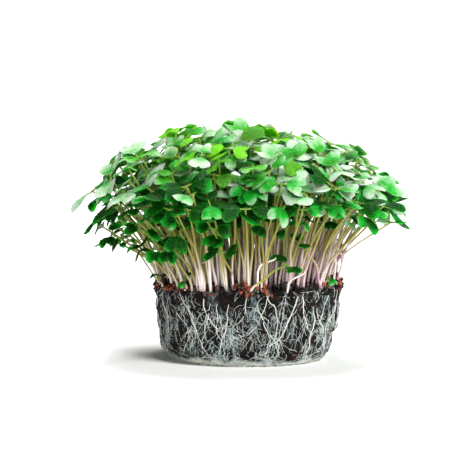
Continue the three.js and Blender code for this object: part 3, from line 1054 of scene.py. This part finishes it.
def grow_root(tree, draw, start, steps, step, wander, thick, dip):
    """A root from a turn, a way down and a heading. Heading 0 runs down, and near the foot it circles.

    It dips in and out of the soil by a share of its width."""
    turn, down, heading = start
    circling = either_way(draw) * math.pi / 2
    phase = any_turn(draw)
    path, walk = [], []
    for number in range(steps):
        out = thick * (ROOT_RISE + dip * math.sin(phase + ROOT_DIP_TURN * number))
        place = skin_point(tree, turn, down, out)
        if place is None or down > ROOT_STOP:
            break
        path.append(place)
        walk.append((turn, down, heading))
        heading += wander * (draw() - 0.5) - ROOT_DOWN_PULL * heading
        if down > BLOCK_HEIGHT - ROOT_CIRCLING:
            heading += ROOT_CIRCLING_PULL * (circling - heading)
        down += step * math.cos(heading)
        turn += step * math.sin(heading) / RIM_RADIUS
    return {"path": np.array(path), "walk": walk, "thick": thick}


def long_enough(roots):
    """The roots that have grown far enough to be made."""
    return [root for root in roots if len(root["path"]) >= SHORTEST_ROOT]


def branches_of(tree, draw, parent, rule):
    """Roots that leave a root at random places, to either side."""
    grown = []
    for _ in range(int(between(rule["count"], draw()))):
        joint = int(len(parent["walk"]) * (BRANCH_FIRST + BRANCH_RANGE * draw()))
        turn, down, heading = parent["walk"][joint]
        side = either_way(draw)
        start = (turn, down, heading + side * between(rule["turn"], draw()))
        steps = int(between(rule["steps"], draw()))
        thick = parent["thick"] * rule["width"]
        grown.append(grow_root(tree, draw, start, steps, ROOT_STEP, rule["wander"], thick, BRANCH_DIP))
    return long_enough(grown)


def root_strands(name, roots, sides, end, tones):
    """One mesh of roots that taper to a share of their width, pale or hazy within limits."""
    draw = draws(ROOT_SEED)
    paths = [root["path"] for root in roots]
    widths = []
    for root in roots:
        share = np.linspace(0, 1, len(root["path"]))
        taper = 1 - (1 - end) * share ** ROOT_TAPER
        widths.append(root["thick"] * taper * np.minimum(1, ROOT_START_WIDTH + ROOT_SWELLING * share))
    return strands(name, paths, widths, sides, [between(tones, draw()) for _ in roots])


def make_main_roots(tree, sizes):
    """The thick roots with their branches, and the finer branches of those."""
    draw = draws(ROOT_SEED)
    grown = []
    for number in range(sizes.main_roots):
        turn = 2 * math.pi * (number + draw()) / sizes.main_roots
        start = (turn, between(MAIN_DOWN, draw()), MAIN_HEADING * (draw() - 0.5))
        thick = sizes.main_root / MM * between(ROOT_SIZES, draw())
        steps = int(between(MAIN_STEPS, draw()))
        grown.append(grow_root(tree, draw, start, steps, ROOT_STEP, MAIN_WANDER, thick, MAIN_DIP))
    orders = [long_enough(grown)]
    for rule in BRANCHES:
        orders.append([root for parent in orders[-1] for root in branches_of(tree, draw, parent, rule)])
    return (
        root_strands("main_roots", orders[0], MAIN_SIDES, MAIN_END, MAIN_TONES),
        root_strands("branch_roots", orders[1] + orders[2], BRANCH_SIDES, BRANCH_END, BRANCH_TONES),
    )


def make_fine_roots(tree, sizes):
    """The web of fine roots, each a short way from the middle of a patch."""
    draw = draws(WEB_SEED)
    patches = [(any_turn(draw), between(WEB_DOWN, draw())) for _ in range(WEB_PATCHES)]
    grown = []
    for number in range(sizes.fine_roots):
        turn, down = patches[number % WEB_PATCHES]
        turn += WEB_SPREAD * (draw() + draw() - 1) / RIM_RADIUS
        down += WEB_SPREAD * WEB_TALLER * (draw() + draw() - 1)
        start = (turn, down, WEB_HEADING * (draw() - 0.5))
        thick = sizes.fine_root / MM * between(ROOT_SIZES, draw())
        steps = int(between(WEB_STEPS, draw()))
        grown.append(grow_root(tree, draw, start, steps, WEB_STEP, WEB_WANDER, thick, WEB_DIP))
    return root_strands("fine_roots", long_enough(grown), WEB_SIDES, WEB_END, WEB_TONES)


FELT_SIDES = 64
FELT_RADIUS = 39.5 * MM
FELT_VOXEL = 0.6 * MM
# Clouds that fray the edge: size of a tuft and how far it moves the edge.
FELT_FRAY = (2 * MM, 1.4 * MM)


def make_felt():
    """The pad of felted roots under the block: a disc with a rounded, ragged edge."""
    felt = upright_cylinder("root_felt", FELT_SIDES, FELT_RADIUS, PAD_LOW[2], PAD_HIGH[2])
    voxels(felt, FELT_VOXEL)
    places = coordinates(felt.data)
    displace(felt, "ragged", *FELT_FRAY)
    moved = coordinates(felt.data)
    moved[:, 2] = places[:, 2]
    set_coordinates(felt.data, moved)
    return felt


# Crumbs and seed coats
# Most crumbs lie in a band along the rim, and the others all over the top. Sizes are shares of a
# middling crumb's radius.
CRUMB_SEED = 503
CRUMB_SHAPE_SEED = 5
CRUMB_ROUGHNESS = 0.3
CRUMBS_AT_RIM = 0.6
CRUMB_BAND = 14.0
CRUMB_BAND_FROM = -9.0
CRUMB_SIZES = (0.5, 1.8)
CRUMB_WIDTHS = (0.6, 1.0)
CRUMB_HEIGHTS = (0.5, 0.9)
CRUMB_RISE = 0.25
# Seed coats lie in clusters along the rim, and every fifth one on the top.
COAT_SEED = 601
COAT_CLUSTERS = 38
COAT_SPREAD = 0.12
COAT_BAND = (-11.5, 2.0)
COAT_ON_TOP = 5
COAT_TOP = (0.1, 0.9)
COAT_SIZES = (0.6, 1.1)
COAT_SQUASH = (1, 0.8, 0.75)
COAT_RISE = 0.35
COAT_DARKENING = 0.7
# A seed coat is cut from a ball of radius 1 at a height, and has a wall.
COAT_SEGMENTS = 8
COAT_RINGS = 4
COAT_CUT = 0.25
COAT_WALL = 0.16
# Crumbs and coats lie in low heaps round the feet of the stems. A heap's height rolls along the rim in
# two waves, and its slope is how far in from the rim it reaches that height.
HEAP_HEIGHT = 5.5
HEAP_SLOPE = 1.5
HEAP_SWELL = 0.7
HEAP_ROLL = 0.3
HEAP_FILL = 1.2


def turned(draw):
    """A random turn in space, as a matrix."""
    a, b, c = (any_turn(draw) for _ in range(3))
    about_z = np.array([[math.cos(a), -math.sin(a), 0], [math.sin(a), math.cos(a), 0], [0, 0, 1]])
    about_y = np.array([[math.cos(b), 0, math.sin(b)], [0, 1, 0], [-math.sin(b), 0, math.cos(b)]])
    about_x = np.array([[1, 0, 0], [0, math.cos(c), -math.sin(c)], [0, math.sin(c), math.cos(c)]])
    return about_z @ about_y @ about_x


def heaped(turn, down, draw):
    """How far a crumb or coat lies above the soil, in millimetres."""
    swell = HEAP_SWELL + HEAP_ROLL * math.sin(5 * turn) * math.sin(13 * turn + 2)
    slope = min(1, max(0, -down) / HEAP_SLOPE)
    return HEAP_HEIGHT * swell * slope * draw() ** HEAP_FILL


def crumb_template():
    """A rough little lump."""
    bpy.ops.object.select_all(action="DESELECT")
    bpy.ops.mesh.primitive_ico_sphere_add(subdivisions=1, radius=1)
    crumb = bpy.context.view_layer.objects.active
    bpy.ops.object.mode_set(mode="EDIT")
    bpy.ops.mesh.select_all(action="SELECT")
    bpy.ops.transform.vertex_random(offset=CRUMB_ROUGHNESS, seed=CRUMB_SHAPE_SEED)
    bpy.ops.object.mode_set(mode="OBJECT")
    return crumb


def scattered(name, template, placed, tones):
    """One piece of all the copies of a template, which is then removed."""
    tone = np.repeat(tones, len(template.data.vertices))
    piece = copies(name, template.data, placed, {"tone": tone})
    bpy.data.objects.remove(template)
    return piece


def make_crumbs(tree, sizes):
    """Loose crumbs of soil."""
    draw = draws(CRUMB_SEED)
    crumb = crumb_template()
    shape = coordinates(crumb.data)
    placed, tones = [], []
    for _ in range(sizes.crumbs):
        if draw() < CRUMBS_AT_RIM:
            down = CRUMB_BAND * draw() ** 1.5 + CRUMB_BAND_FROM
        else:
            down = -RIM_RADIUS * draw() ** 0.5
        radius = sizes.crumb * between(CRUMB_SIZES, draw() ** 2)
        turn = any_turn(draw)
        spot = skin_point(tree, turn, down, CRUMB_RISE * radius / MM + heaped(turn, down, draw))
        if spot is None:
            continue
        squash = np.array([1, between(CRUMB_WIDTHS, draw()), between(CRUMB_HEIGHTS, draw())])
        placed.append(spot + (shape * squash * radius) @ turned(draw).T)
        tones.append(draw())
    return scattered("soil_crumbs", crumb, placed, tones)


def coat_template():
    """An empty seed coat: part of a little ball, hollow, its wall given by a Solidify modifier."""
    bpy.ops.object.select_all(action="DESELECT")
    bpy.ops.mesh.primitive_uv_sphere_add(segments=COAT_SEGMENTS, ring_count=COAT_RINGS, radius=1)
    coat = bpy.context.view_layer.objects.active
    bpy.ops.object.mode_set(mode="EDIT")
    bpy.ops.mesh.select_all(action="SELECT")
    bpy.ops.mesh.bisect(plane_co=(0, 0, COAT_CUT), plane_no=(0, 0, 1), clear_outer=True)
    bpy.ops.object.mode_set(mode="OBJECT")
    wall = coat.modifiers.new("wall", "SOLIDIFY")
    wall.thickness = COAT_WALL
    bpy.ops.object.modifier_apply(modifier="wall")
    return coat


def make_coats(tree, sizes):
    """Empty seed coats, left where the seedlings dropped them."""
    draw = draws(COAT_SEED)
    coat = coat_template()
    shape = coordinates(coat.data) * COAT_SQUASH
    clusters = [any_turn(draw) for _ in range(COAT_CLUSTERS)]
    placed, tones = [], []
    for number in range(sizes.coats):
        turn = clusters[number % COAT_CLUSTERS] + COAT_SPREAD * (draw() + draw() - 1)
        down = between(COAT_BAND, draw())
        if number % COAT_ON_TOP == 0:
            turn = any_turn(draw)
            down = -RIM_RADIUS * between(COAT_TOP, draw())
        radius = sizes.coat * between(COAT_SIZES, draw())
        spot = skin_point(tree, turn, down, COAT_RISE * radius / MM + heaped(turn, down, draw))
        if spot is None:
            continue
        placed.append(spot + (shape * radius) @ turned(draw).T)
        tones.append(draw() ** COAT_DARKENING)
    return scattered("seed_coats", coat, placed, tones)


# Seedlings
# A blade is a flattened ball: this many points round its edge, and rings from face to face.
LEAF_SEGMENTS = 18
LEAF_RINGS = 4
# Half of a blade's outline from the notch at its tip to its foot: shares of length and of width.
BLADE_HALF = (
    (0.8, 0.0), (0.93, 0.1), (1.0, 0.25), (0.97, 0.38), (0.86, 0.48),
    (0.68, 0.5), (0.5, 0.44), (0.36, 0.3), (0.26, 0.12), (0.22, 0.0),
)
# The middle of a blade, and how far out its inner ring of points lies.
BLADE_CENTRE = (0.6, 0.0)
BLADE_INNER = 0.58
BLADE_EDGE_ANGLE = math.radians(50)
# A blade's edge waves up and down, and its sides curl down. Heights are in millimetres.
WAVE_COUNT = 8
WAVE_PHASE = 6
WAVE_HEIGHT = 1.1
CURL_HEIGHT = 2.0
# Stalks join a blade to its stem: shares of the leaf's length, and radii in millimetres.
STALK_SHARES = np.array([0.02, 0.1, 0.18, 0.24])
STALK_WIDTHS = np.array([0.55, 0.45, 0.4, 0.36])
# A stem sways from side to side as it rises. The place of its tip sets the direction.
STEM_SIDES = 6
STEM_SHARES = np.linspace(0, 1, 10)
STEM_SIZES = (0.68, 1.12)
STEM_TAPER = 0.6
SWAY_WAVES = 1.5
SWAY_PHASE = 6
SWAY_TURN = 6.28
# Stems on the right are pinker at the foot, and stay pale further up.
BLUSH_MIDDLE = 0.25
BLUSH_RIGHT = 0.5
BLUSH_SPREAD = 0.8
STEM_GREENING = 0.3
STEM_GREENING_FROM = 0.4
STEM_LATE = 0.22
# How pale a blade is: higher blades and those on the right are paler, which is painted light from the top
# and key lights. Some blades turn nearly white, partly from a real waxy bloom and partly from painted
# glare.
TONE_LOWEST = 0.12
TONE_PAINTED_TOP_LIGHT = 0.2
TONE_PAINTED_LIGHT_ACROSS = 0.04
TONE_PAINTED_KEY_LIGHT = 0.2
TONE_SPREAD = 0.7
TONE_FROST_AND_GLARE = 0.5
FROST_AND_GLARE_SHARE = 0.38
FROST_PAINTED_KEY_LIGHT = 0.35
FROST_PAINTED_TOP_LIGHT = 0.3
# How yellow a blade is: the high ones that are not whitened get a painted glow of light shining through
# them, partly the real yellower green of young blades.
WARM_FROST_AND_GLARE = 0.2
WARM_FROM = 0.35
WARM_RISE = 2.4
SEEDLING_SEED = 907


def blade_template():
    """A blade laid flat: x is the share of its length, y of its width and z of its thickness."""
    bpy.ops.object.select_all(action="DESELECT")
    bpy.ops.mesh.primitive_uv_sphere_add(segments=LEAF_SEGMENTS, ring_count=LEAF_RINGS, radius=1)
    blade = bpy.context.view_layer.objects.active
    places = coordinates(blade.data)
    flat = np.hypot(places[:, 0], places[:, 1])
    turns = np.arctan2(places[:, 1], places[:, 0]) / (2 * math.pi)
    steps = np.round(turns * LEAF_SEGMENTS).astype(int)
    outline = np.array([BLADE_HALF[abs(step)] for step in steps])
    outline[:, 1] *= np.where(steps < 0, -1, 1)
    inner = np.where(flat > 0.9, 1.0, np.where(flat > 0.1, BLADE_INNER, 0.0))[:, None]
    shaped = np.array(BLADE_CENTRE) + (outline - BLADE_CENTRE) * inner
    rise = np.sign(np.round(places[:, 2], 3)) * 0.5
    set_coordinates(blade.data, np.column_stack([shaped, rise]))
    return blade


def swaying_stem(one, sizes, draw):
    """A stem's path with its radii, in millimetres."""
    phase = STEM_SHARES * math.pi * (SWAY_WAVES + draw()) + SWAY_PHASE * draw()
    swing = np.sin(phase) * np.sin(STEM_SHARES * math.pi)
    side = np.append(ring_at(SWAY_TURN * one["tip"][0]), 0.0)
    path = on_stem(one, STEM_SHARES) + np.outer(swing * sizes.stem_wave / MM, side)
    foot = sizes.stem_foot / MM * between(STEM_SIZES, draw())
    return path, foot + (sizes.stem_tip / MM - foot) * STEM_SHARES ** STEM_TAPER


def bent_blade(leaf, shares, sizes, draw):
    """The vertices of one blade, in metres: the flat one on its leaf's curve, waved and curled."""
    along, across, side = shares.T
    wave = np.sin(WAVE_COUNT * across + WAVE_PHASE * draw()) * along ** 2
    curl = CURL_HEIGHT * draw() ** 2 * (2 * across) ** 4
    rise = side * sizes.blade / MM + WAVE_HEIGHT * wave - curl
    return on_leaf(leaf, along, across, rise) * MM


def blade_looks(tip, draw):
    """How pale and how yellow a blade is, from the place of its stem's tip: painted light and painted
    glare make the high blades and those on the right paler, and a painted backlight glow makes the high
    ones yellower.
    """
    height = max(0, (tip[2] - LOWEST_TIP) / (CROWN_BASE + CROWN_RISE - LOWEST_TIP))
    aside = tip[0] / TIP_REACH
    painted_key_light = max(0, aside)
    # Painted glare: some blades turn nearly white, more of them on the right and high up. This is partly
    # a real waxy bloom.
    frost_and_glare = height > 0 and draw() < FROST_AND_GLARE_SHARE + FROST_PAINTED_KEY_LIGHT * painted_key_light + FROST_PAINTED_TOP_LIGHT * height ** 2
    # Painted light: high blades and those on the right are paler, and those on the left are darker.
    tone = TONE_LOWEST + TONE_PAINTED_TOP_LIGHT * height + TONE_PAINTED_LIGHT_ACROSS * aside + TONE_PAINTED_KEY_LIGHT * painted_key_light
    tone += TONE_SPREAD * (draw() - 0.5) + TONE_FROST_AND_GLARE * frost_and_glare
    warm = WARM_FROST_AND_GLARE * height if frost_and_glare else max(0, height - WARM_FROM) * WARM_RISE * draw()
    return tone, min(1, warm)


def make_tuft(name, tuft, blade, sizes, draw, materials):
    """One tuft's seedlings as one piece: stems and stalks swept along curves, blades copied and bent."""
    paths, widths, tones, rises, placed, looks = [], [], [], [], [], []
    shares = coordinates(blade.data)
    for one in tuft["seedlings"]:
        path, width = swaying_stem(one, sizes, draw)
        right = one["start"][0] / RIM_RADIUS
        blush = BLUSH_MIDDLE + BLUSH_RIGHT * right + BLUSH_SPREAD * (draw() - 0.5)
        blush = min(1, max(0, blush))
        greening = STEM_GREENING * (draw() - STEM_GREENING_FROM) - STEM_LATE * max(0, right)
        paths.append(path * MM)
        widths.append(width)
        tones.append(blush)
        rises.append(STEM_SHARES + greening)
        for leaf in one["leaves"]:
            stalk = on_leaf(leaf, STALK_SHARES, np.zeros(len(STALK_SHARES)))
            paths.append(stalk * MM)
            widths.append(STALK_WIDTHS)
            tones.append(blush)
            rises.append(np.ones(len(stalk)))
            placed.append(bent_blade(leaf, shares, sizes, draw))
            looks.append(blade_looks(one["tip"], draw))
    stems = strands(name, paths, widths, STEM_SIDES, tones)
    set_attribute(stems.data, "rise", np.repeat(np.concatenate(rises), STEM_SIDES))
    stems.data.materials.append(materials[0])
    blade_tones, warmths = np.repeat(np.array(looks), len(shares), axis=0).T
    blades = copies(name + "_blades", blade.data, placed, {"tone": blade_tones, "warm": warmths})
    blades.data.set_sharp_from_angle(angle=BLADE_EDGE_ANGLE)
    # Each blade's own map: the share of its length, and the share of its width with the rib at 0.5.
    blade_map = blades.data.uv_layers.new(name="blade")
    corners = np.empty(len(blades.data.loops), dtype=np.int32)
    blades.data.loops.foreach_get("vertex_index", corners)
    flat = np.tile(shares[:, :2] + (0, 0.5), (len(placed), 1))[corners]
    blade_map.data.foreach_set("uv", flat.ravel())
    blades.data.materials.append(materials[1])
    only(blades, stems)
    bpy.ops.object.join()
    piece = bpy.context.view_layer.objects.active
    piece.name = piece.data.name = name
    return piece


# Limp stems: pale ones at the rim that have lost their leaves and kink over sideways.
LIMP_SEED = 211
LIMP_STEMS = 10
LIMP_STEPS = 16
LIMP_HEIGHTS = (5.0, 17.0)
LIMP_SWAYS = (5.0, 10.0)
LIMP_HOOKS = (-2.0, 4.0)
# Shares of its length: where it stops rising, where it starts to sway, how long the sway takes, and
# where the hook starts.
LIMP_UPRIGHT = 0.55
LIMP_SWAY_FROM = 0.4
LIMP_SWAY_RANGE = 0.45
LIMP_HOOK_FROM = 0.85
LIMP_SWAY_RISE = 0.35
LIMP_BULGE = 1.5
LIMP_IN = 2.5
LIMP_DEPTH = 0.5
LIMP_RADIUS = 0.55
LIMP_TAPER = 0.35
LIMP_SIZES = (0.8, 1.2)
LIMP_BLUSH = 0.3
LIMP_GREENING = 0.3


def make_limp_stems(tree):
    """Each rises from the rim, kinks over to one side and ends in a small hook."""
    draw = draws(LIMP_SEED)
    share = np.linspace(0, 1, LIMP_STEPS)
    paths, widths, tones = [], [], []
    for number in range(LIMP_STEMS):
        turn = 2 * math.pi * (number + draw()) / LIMP_STEMS
        ring = np.append(ring_at(turn), 0.0)
        side = np.array([-ring[1], ring[0], 0]) * either_way(draw)
        foot = skin_point(tree, turn, -LIMP_IN * draw(), -LIMP_DEPTH)
        height = between(LIMP_HEIGHTS, draw())
        swayed = np.clip((share - LIMP_SWAY_FROM) / LIMP_SWAY_RANGE, 0, 1) ** 1.6
        sway = between(LIMP_SWAYS, draw()) * swayed
        hooked = np.clip((share - LIMP_HOOK_FROM) / (1 - LIMP_HOOK_FROM), 0, 1)
        hook = between(LIMP_HOOKS, draw()) * hooked
        rise = height * np.minimum(1, share / LIMP_UPRIGHT) ** 0.9 + LIMP_SWAY_RISE * sway + hook
        bulge = LIMP_BULGE * np.sin(math.pi * share)
        path = np.outer(sway, side) + np.outer(bulge, ring) + np.outer(rise, (0, 0, 1))
        paths.append(foot + path * MM)
        widths.append(LIMP_RADIUS * (1 - LIMP_TAPER * share) * between(LIMP_SIZES, draw()))
        tones.append(LIMP_BLUSH * draw())
    limp = strands("limp_stems", paths, widths, STEM_SIDES, tones)
    greening = np.repeat(LIMP_GREENING * share ** 2, STEM_SIDES)
    set_attribute(limp.data, "rise", np.tile(greening, len(paths)))
    return limp


# Operators: one for each piece or group of like pieces, and one for the stage
def settings(context):
    """The sizes and the colours that the sidebar shows."""
    return context.scene.microgreens_sizes, context.scene.microgreens_colours


def soil_object():
    """The block of soil, on which the loose pieces and the roots lie."""
    soil = bpy.data.objects.get("soil")
    if soil is None:
        raise RuntimeError("The soil has to be made first.")
    return soil


class MICROGREENS_OT_soil(bpy.types.Operator):
    """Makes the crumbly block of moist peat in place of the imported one"""
    bl_idname = "microgreens.soil"
    bl_label = "Soil block"

    def execute(self, context):
        _, colours = settings(context)
        soil = make_soil()
        finish_piece(soil, soil_material(colours), ["soil_block"])
        return {"FINISHED"}


class MICROGREENS_OT_crumbs(bpy.types.Operator):
    """Scatters loose crumbs over the top and the rim of the block"""
    bl_idname = "microgreens.crumbs"
    bl_label = "Loose crumbs"

    def execute(self, context):
        sizes, _ = settings(context)
        soil = soil_object()
        crumbs = make_crumbs(skin_of(soil), sizes)
        finish_piece(crumbs, soil.data.materials[0])
        return {"FINISHED"}


class MICROGREENS_OT_seed_coats(bpy.types.Operator):
    """Scatters empty seed coats along the rim and between the stems"""
    bl_idname = "microgreens.seed_coats"
    bl_label = "Seed coats"

    def execute(self, context):
        sizes, colours = settings(context)
        coats = make_coats(skin_of(soil_object()), sizes)
        finish_piece(coats, coat_material(colours))
        return {"FINISHED"}


class MICROGREENS_OT_roots(bpy.types.Operator):
    """Grows thick and fine roots over the side of the block and the felt under it"""
    bl_idname = "microgreens.roots"
    bl_label = "Roots"

    def execute(self, context):
        sizes, colours = settings(context)
        tree = skin_of(soil_object())
        white = root_material(colours, "white_root_fibre", 0.5)
        hazy = root_material(colours, "fine_root_hair", 0.7)
        thick, branching = make_main_roots(tree, sizes)
        finish_piece(thick, white, ["root_net"])
        finish_piece(branching, white)
        finish_piece(make_fine_roots(tree, sizes), hazy)
        finish_piece(make_felt(), felt_material(colours), ["root_pad"])
        return {"FINISHED"}


class MICROGREENS_OT_seedlings(bpy.types.Operator):
    """Grows the seedlings, a piece for each packed tuft, and the limp stems at the rim"""
    bl_idname = "microgreens.seedlings"
    bl_label = "Seedlings"

    def execute(self, context):
        sizes, colours = settings(context)
        tufts = plan_tufts()
        add_extras(tufts)
        materials = (stem_material(colours), leaf_material(colours))
        blade = blade_template()
        draw = draws(SEEDLING_SEED)
        for number, (node, tuft) in enumerate(zip(TUFT_NODES, tufts), 1):
            piece = make_tuft(f"seedlings_{number:02d}", tuft, blade, sizes, draw, materials)
            finish_piece(piece, None, [node])
        bpy.data.objects.remove(blade)
        limp = make_limp_stems(skin_of(soil_object()))
        finish_piece(limp, materials[0])
        return {"FINISHED"}


# The lights: name, where it shines from, strength and how wide it looks, in degrees.
LIGHTS = (
    ("key_light", (0.55, -0.8, 0.66), 4.3, 30),
    ("top_light", (0.05, 0.3, 1.0), 3.5, 30),
    ("fill_light", (-0.1, -1.0, 0.1), 0.5, 20),
)
# What the camera looks at, how wide the picture is there, and how wide the floor is, in metres.
CAMERA_TARGET = (-0.006, 0.0, 0.0646)
FRAME_WIDTH = 0.252
FLOOR_SIZE = 40.0
WORLD_STRENGTH = 0.12
SENSOR_WIDTH = 36.0


def aim(thing, target):
    """Turns a light or the camera towards a place."""
    way = Vector(target) - thing.location
    thing.rotation_euler = way.to_track_quat("-Z", "Y").to_euler()


class MICROGREENS_OT_stage(bpy.types.Operator):
    """Lays the floor and sets up the soft light and the camera"""
    bl_idname = "microgreens.stage"
    bl_label = "Stage"

    def execute(self, context):
        sizes, colours = settings(context)
        bpy.ops.object.select_all(action="DESELECT")
        bpy.ops.mesh.primitive_plane_add(size=FLOOR_SIZE, location=(0, 0, CAD_LOW[2]))
        floor = context.view_layer.objects.active
        floor.name = floor.data.name = "floor"
        floor.data.materials.append(floor_material(colours))
        floor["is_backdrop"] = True
        for name, place, strength, width in LIGHTS:
            lamp = bpy.data.lights.new(name, "SUN")
            lamp.angle = math.radians(width)
            lamp.energy = strength
            light = bpy.data.objects.new(name, lamp)
            light.location = place
            context.scene.collection.objects.link(light)
            aim(light, (0, 0, 0))
        world = bpy.data.worlds.new("studio")
        world.use_nodes = True
        background = world.node_tree.nodes["Background"]
        background.inputs["Color"].default_value = (1, 1, 1, 1)
        background.inputs["Strength"].default_value = WORLD_STRENGTH
        context.scene.world = world
        context.scene.view_settings.view_transform = "Standard"
        lens = bpy.data.cameras.new("camera")
        lens.sensor_width = SENSOR_WIDTH
        lens.lens = SENSOR_WIDTH * sizes.camera_distance / FRAME_WIDTH
        camera = bpy.data.objects.new("camera", lens)
        away = sizes.camera_distance * math.cos(sizes.camera_angle)
        rise = sizes.camera_distance * math.sin(sizes.camera_angle)
        camera.location = Vector(CAMERA_TARGET) + Vector((0, -away, rise))
        context.scene.collection.objects.link(camera)
        aim(camera, CAMERA_TARGET)
        context.scene.camera = camera
        return {"FINISHED"}


OPERATORS = (
    MICROGREENS_OT_soil,
    MICROGREENS_OT_crumbs,
    MICROGREENS_OT_seed_coats,
    MICROGREENS_OT_roots,
    MICROGREENS_OT_seedlings,
    MICROGREENS_OT_stage,
)


class MICROGREENS_PT_panel(bpy.types.Panel):
    """Lists the pieces, the sizes and the colours"""
    bl_idname = "MICROGREENS_PT_panel"
    bl_label = "Microgreens"
    bl_space_type = "VIEW_3D"
    bl_region_type = "UI"
    bl_category = "Microgreens"

    def draw(self, context):
        for operator in OPERATORS:
            self.layout.operator(operator.bl_idname)
        for group in settings(context):
            box = self.layout.box()
            for name in group.__annotations__:
                box.prop(group, name)


CLASSES = (ColourSettings, SizeSettings, *OPERATORS, MICROGREENS_PT_panel)


def register():
    """Makes the operators, the panel and the settings known."""
    for cls in CLASSES:
        bpy.utils.register_class(cls)
    bpy.types.Scene.microgreens_sizes = bpy.props.PointerProperty(type=SizeSettings)
    bpy.types.Scene.microgreens_colours = bpy.props.PointerProperty(type=ColourSettings)


def unregister():
    """Takes them all away again."""
    del bpy.types.Scene.microgreens_colours
    del bpy.types.Scene.microgreens_sizes
    for cls in reversed(CLASSES):
        bpy.utils.unregister_class(cls)


def main():
    """Makes every piece and the stage."""
    register()
    bpy.ops.microgreens.soil()
    bpy.ops.microgreens.crumbs()
    bpy.ops.microgreens.seed_coats()
    bpy.ops.microgreens.roots()
    bpy.ops.microgreens.seedlings()
    bpy.ops.microgreens.stage()


if __name__ == "__main__":
    main()
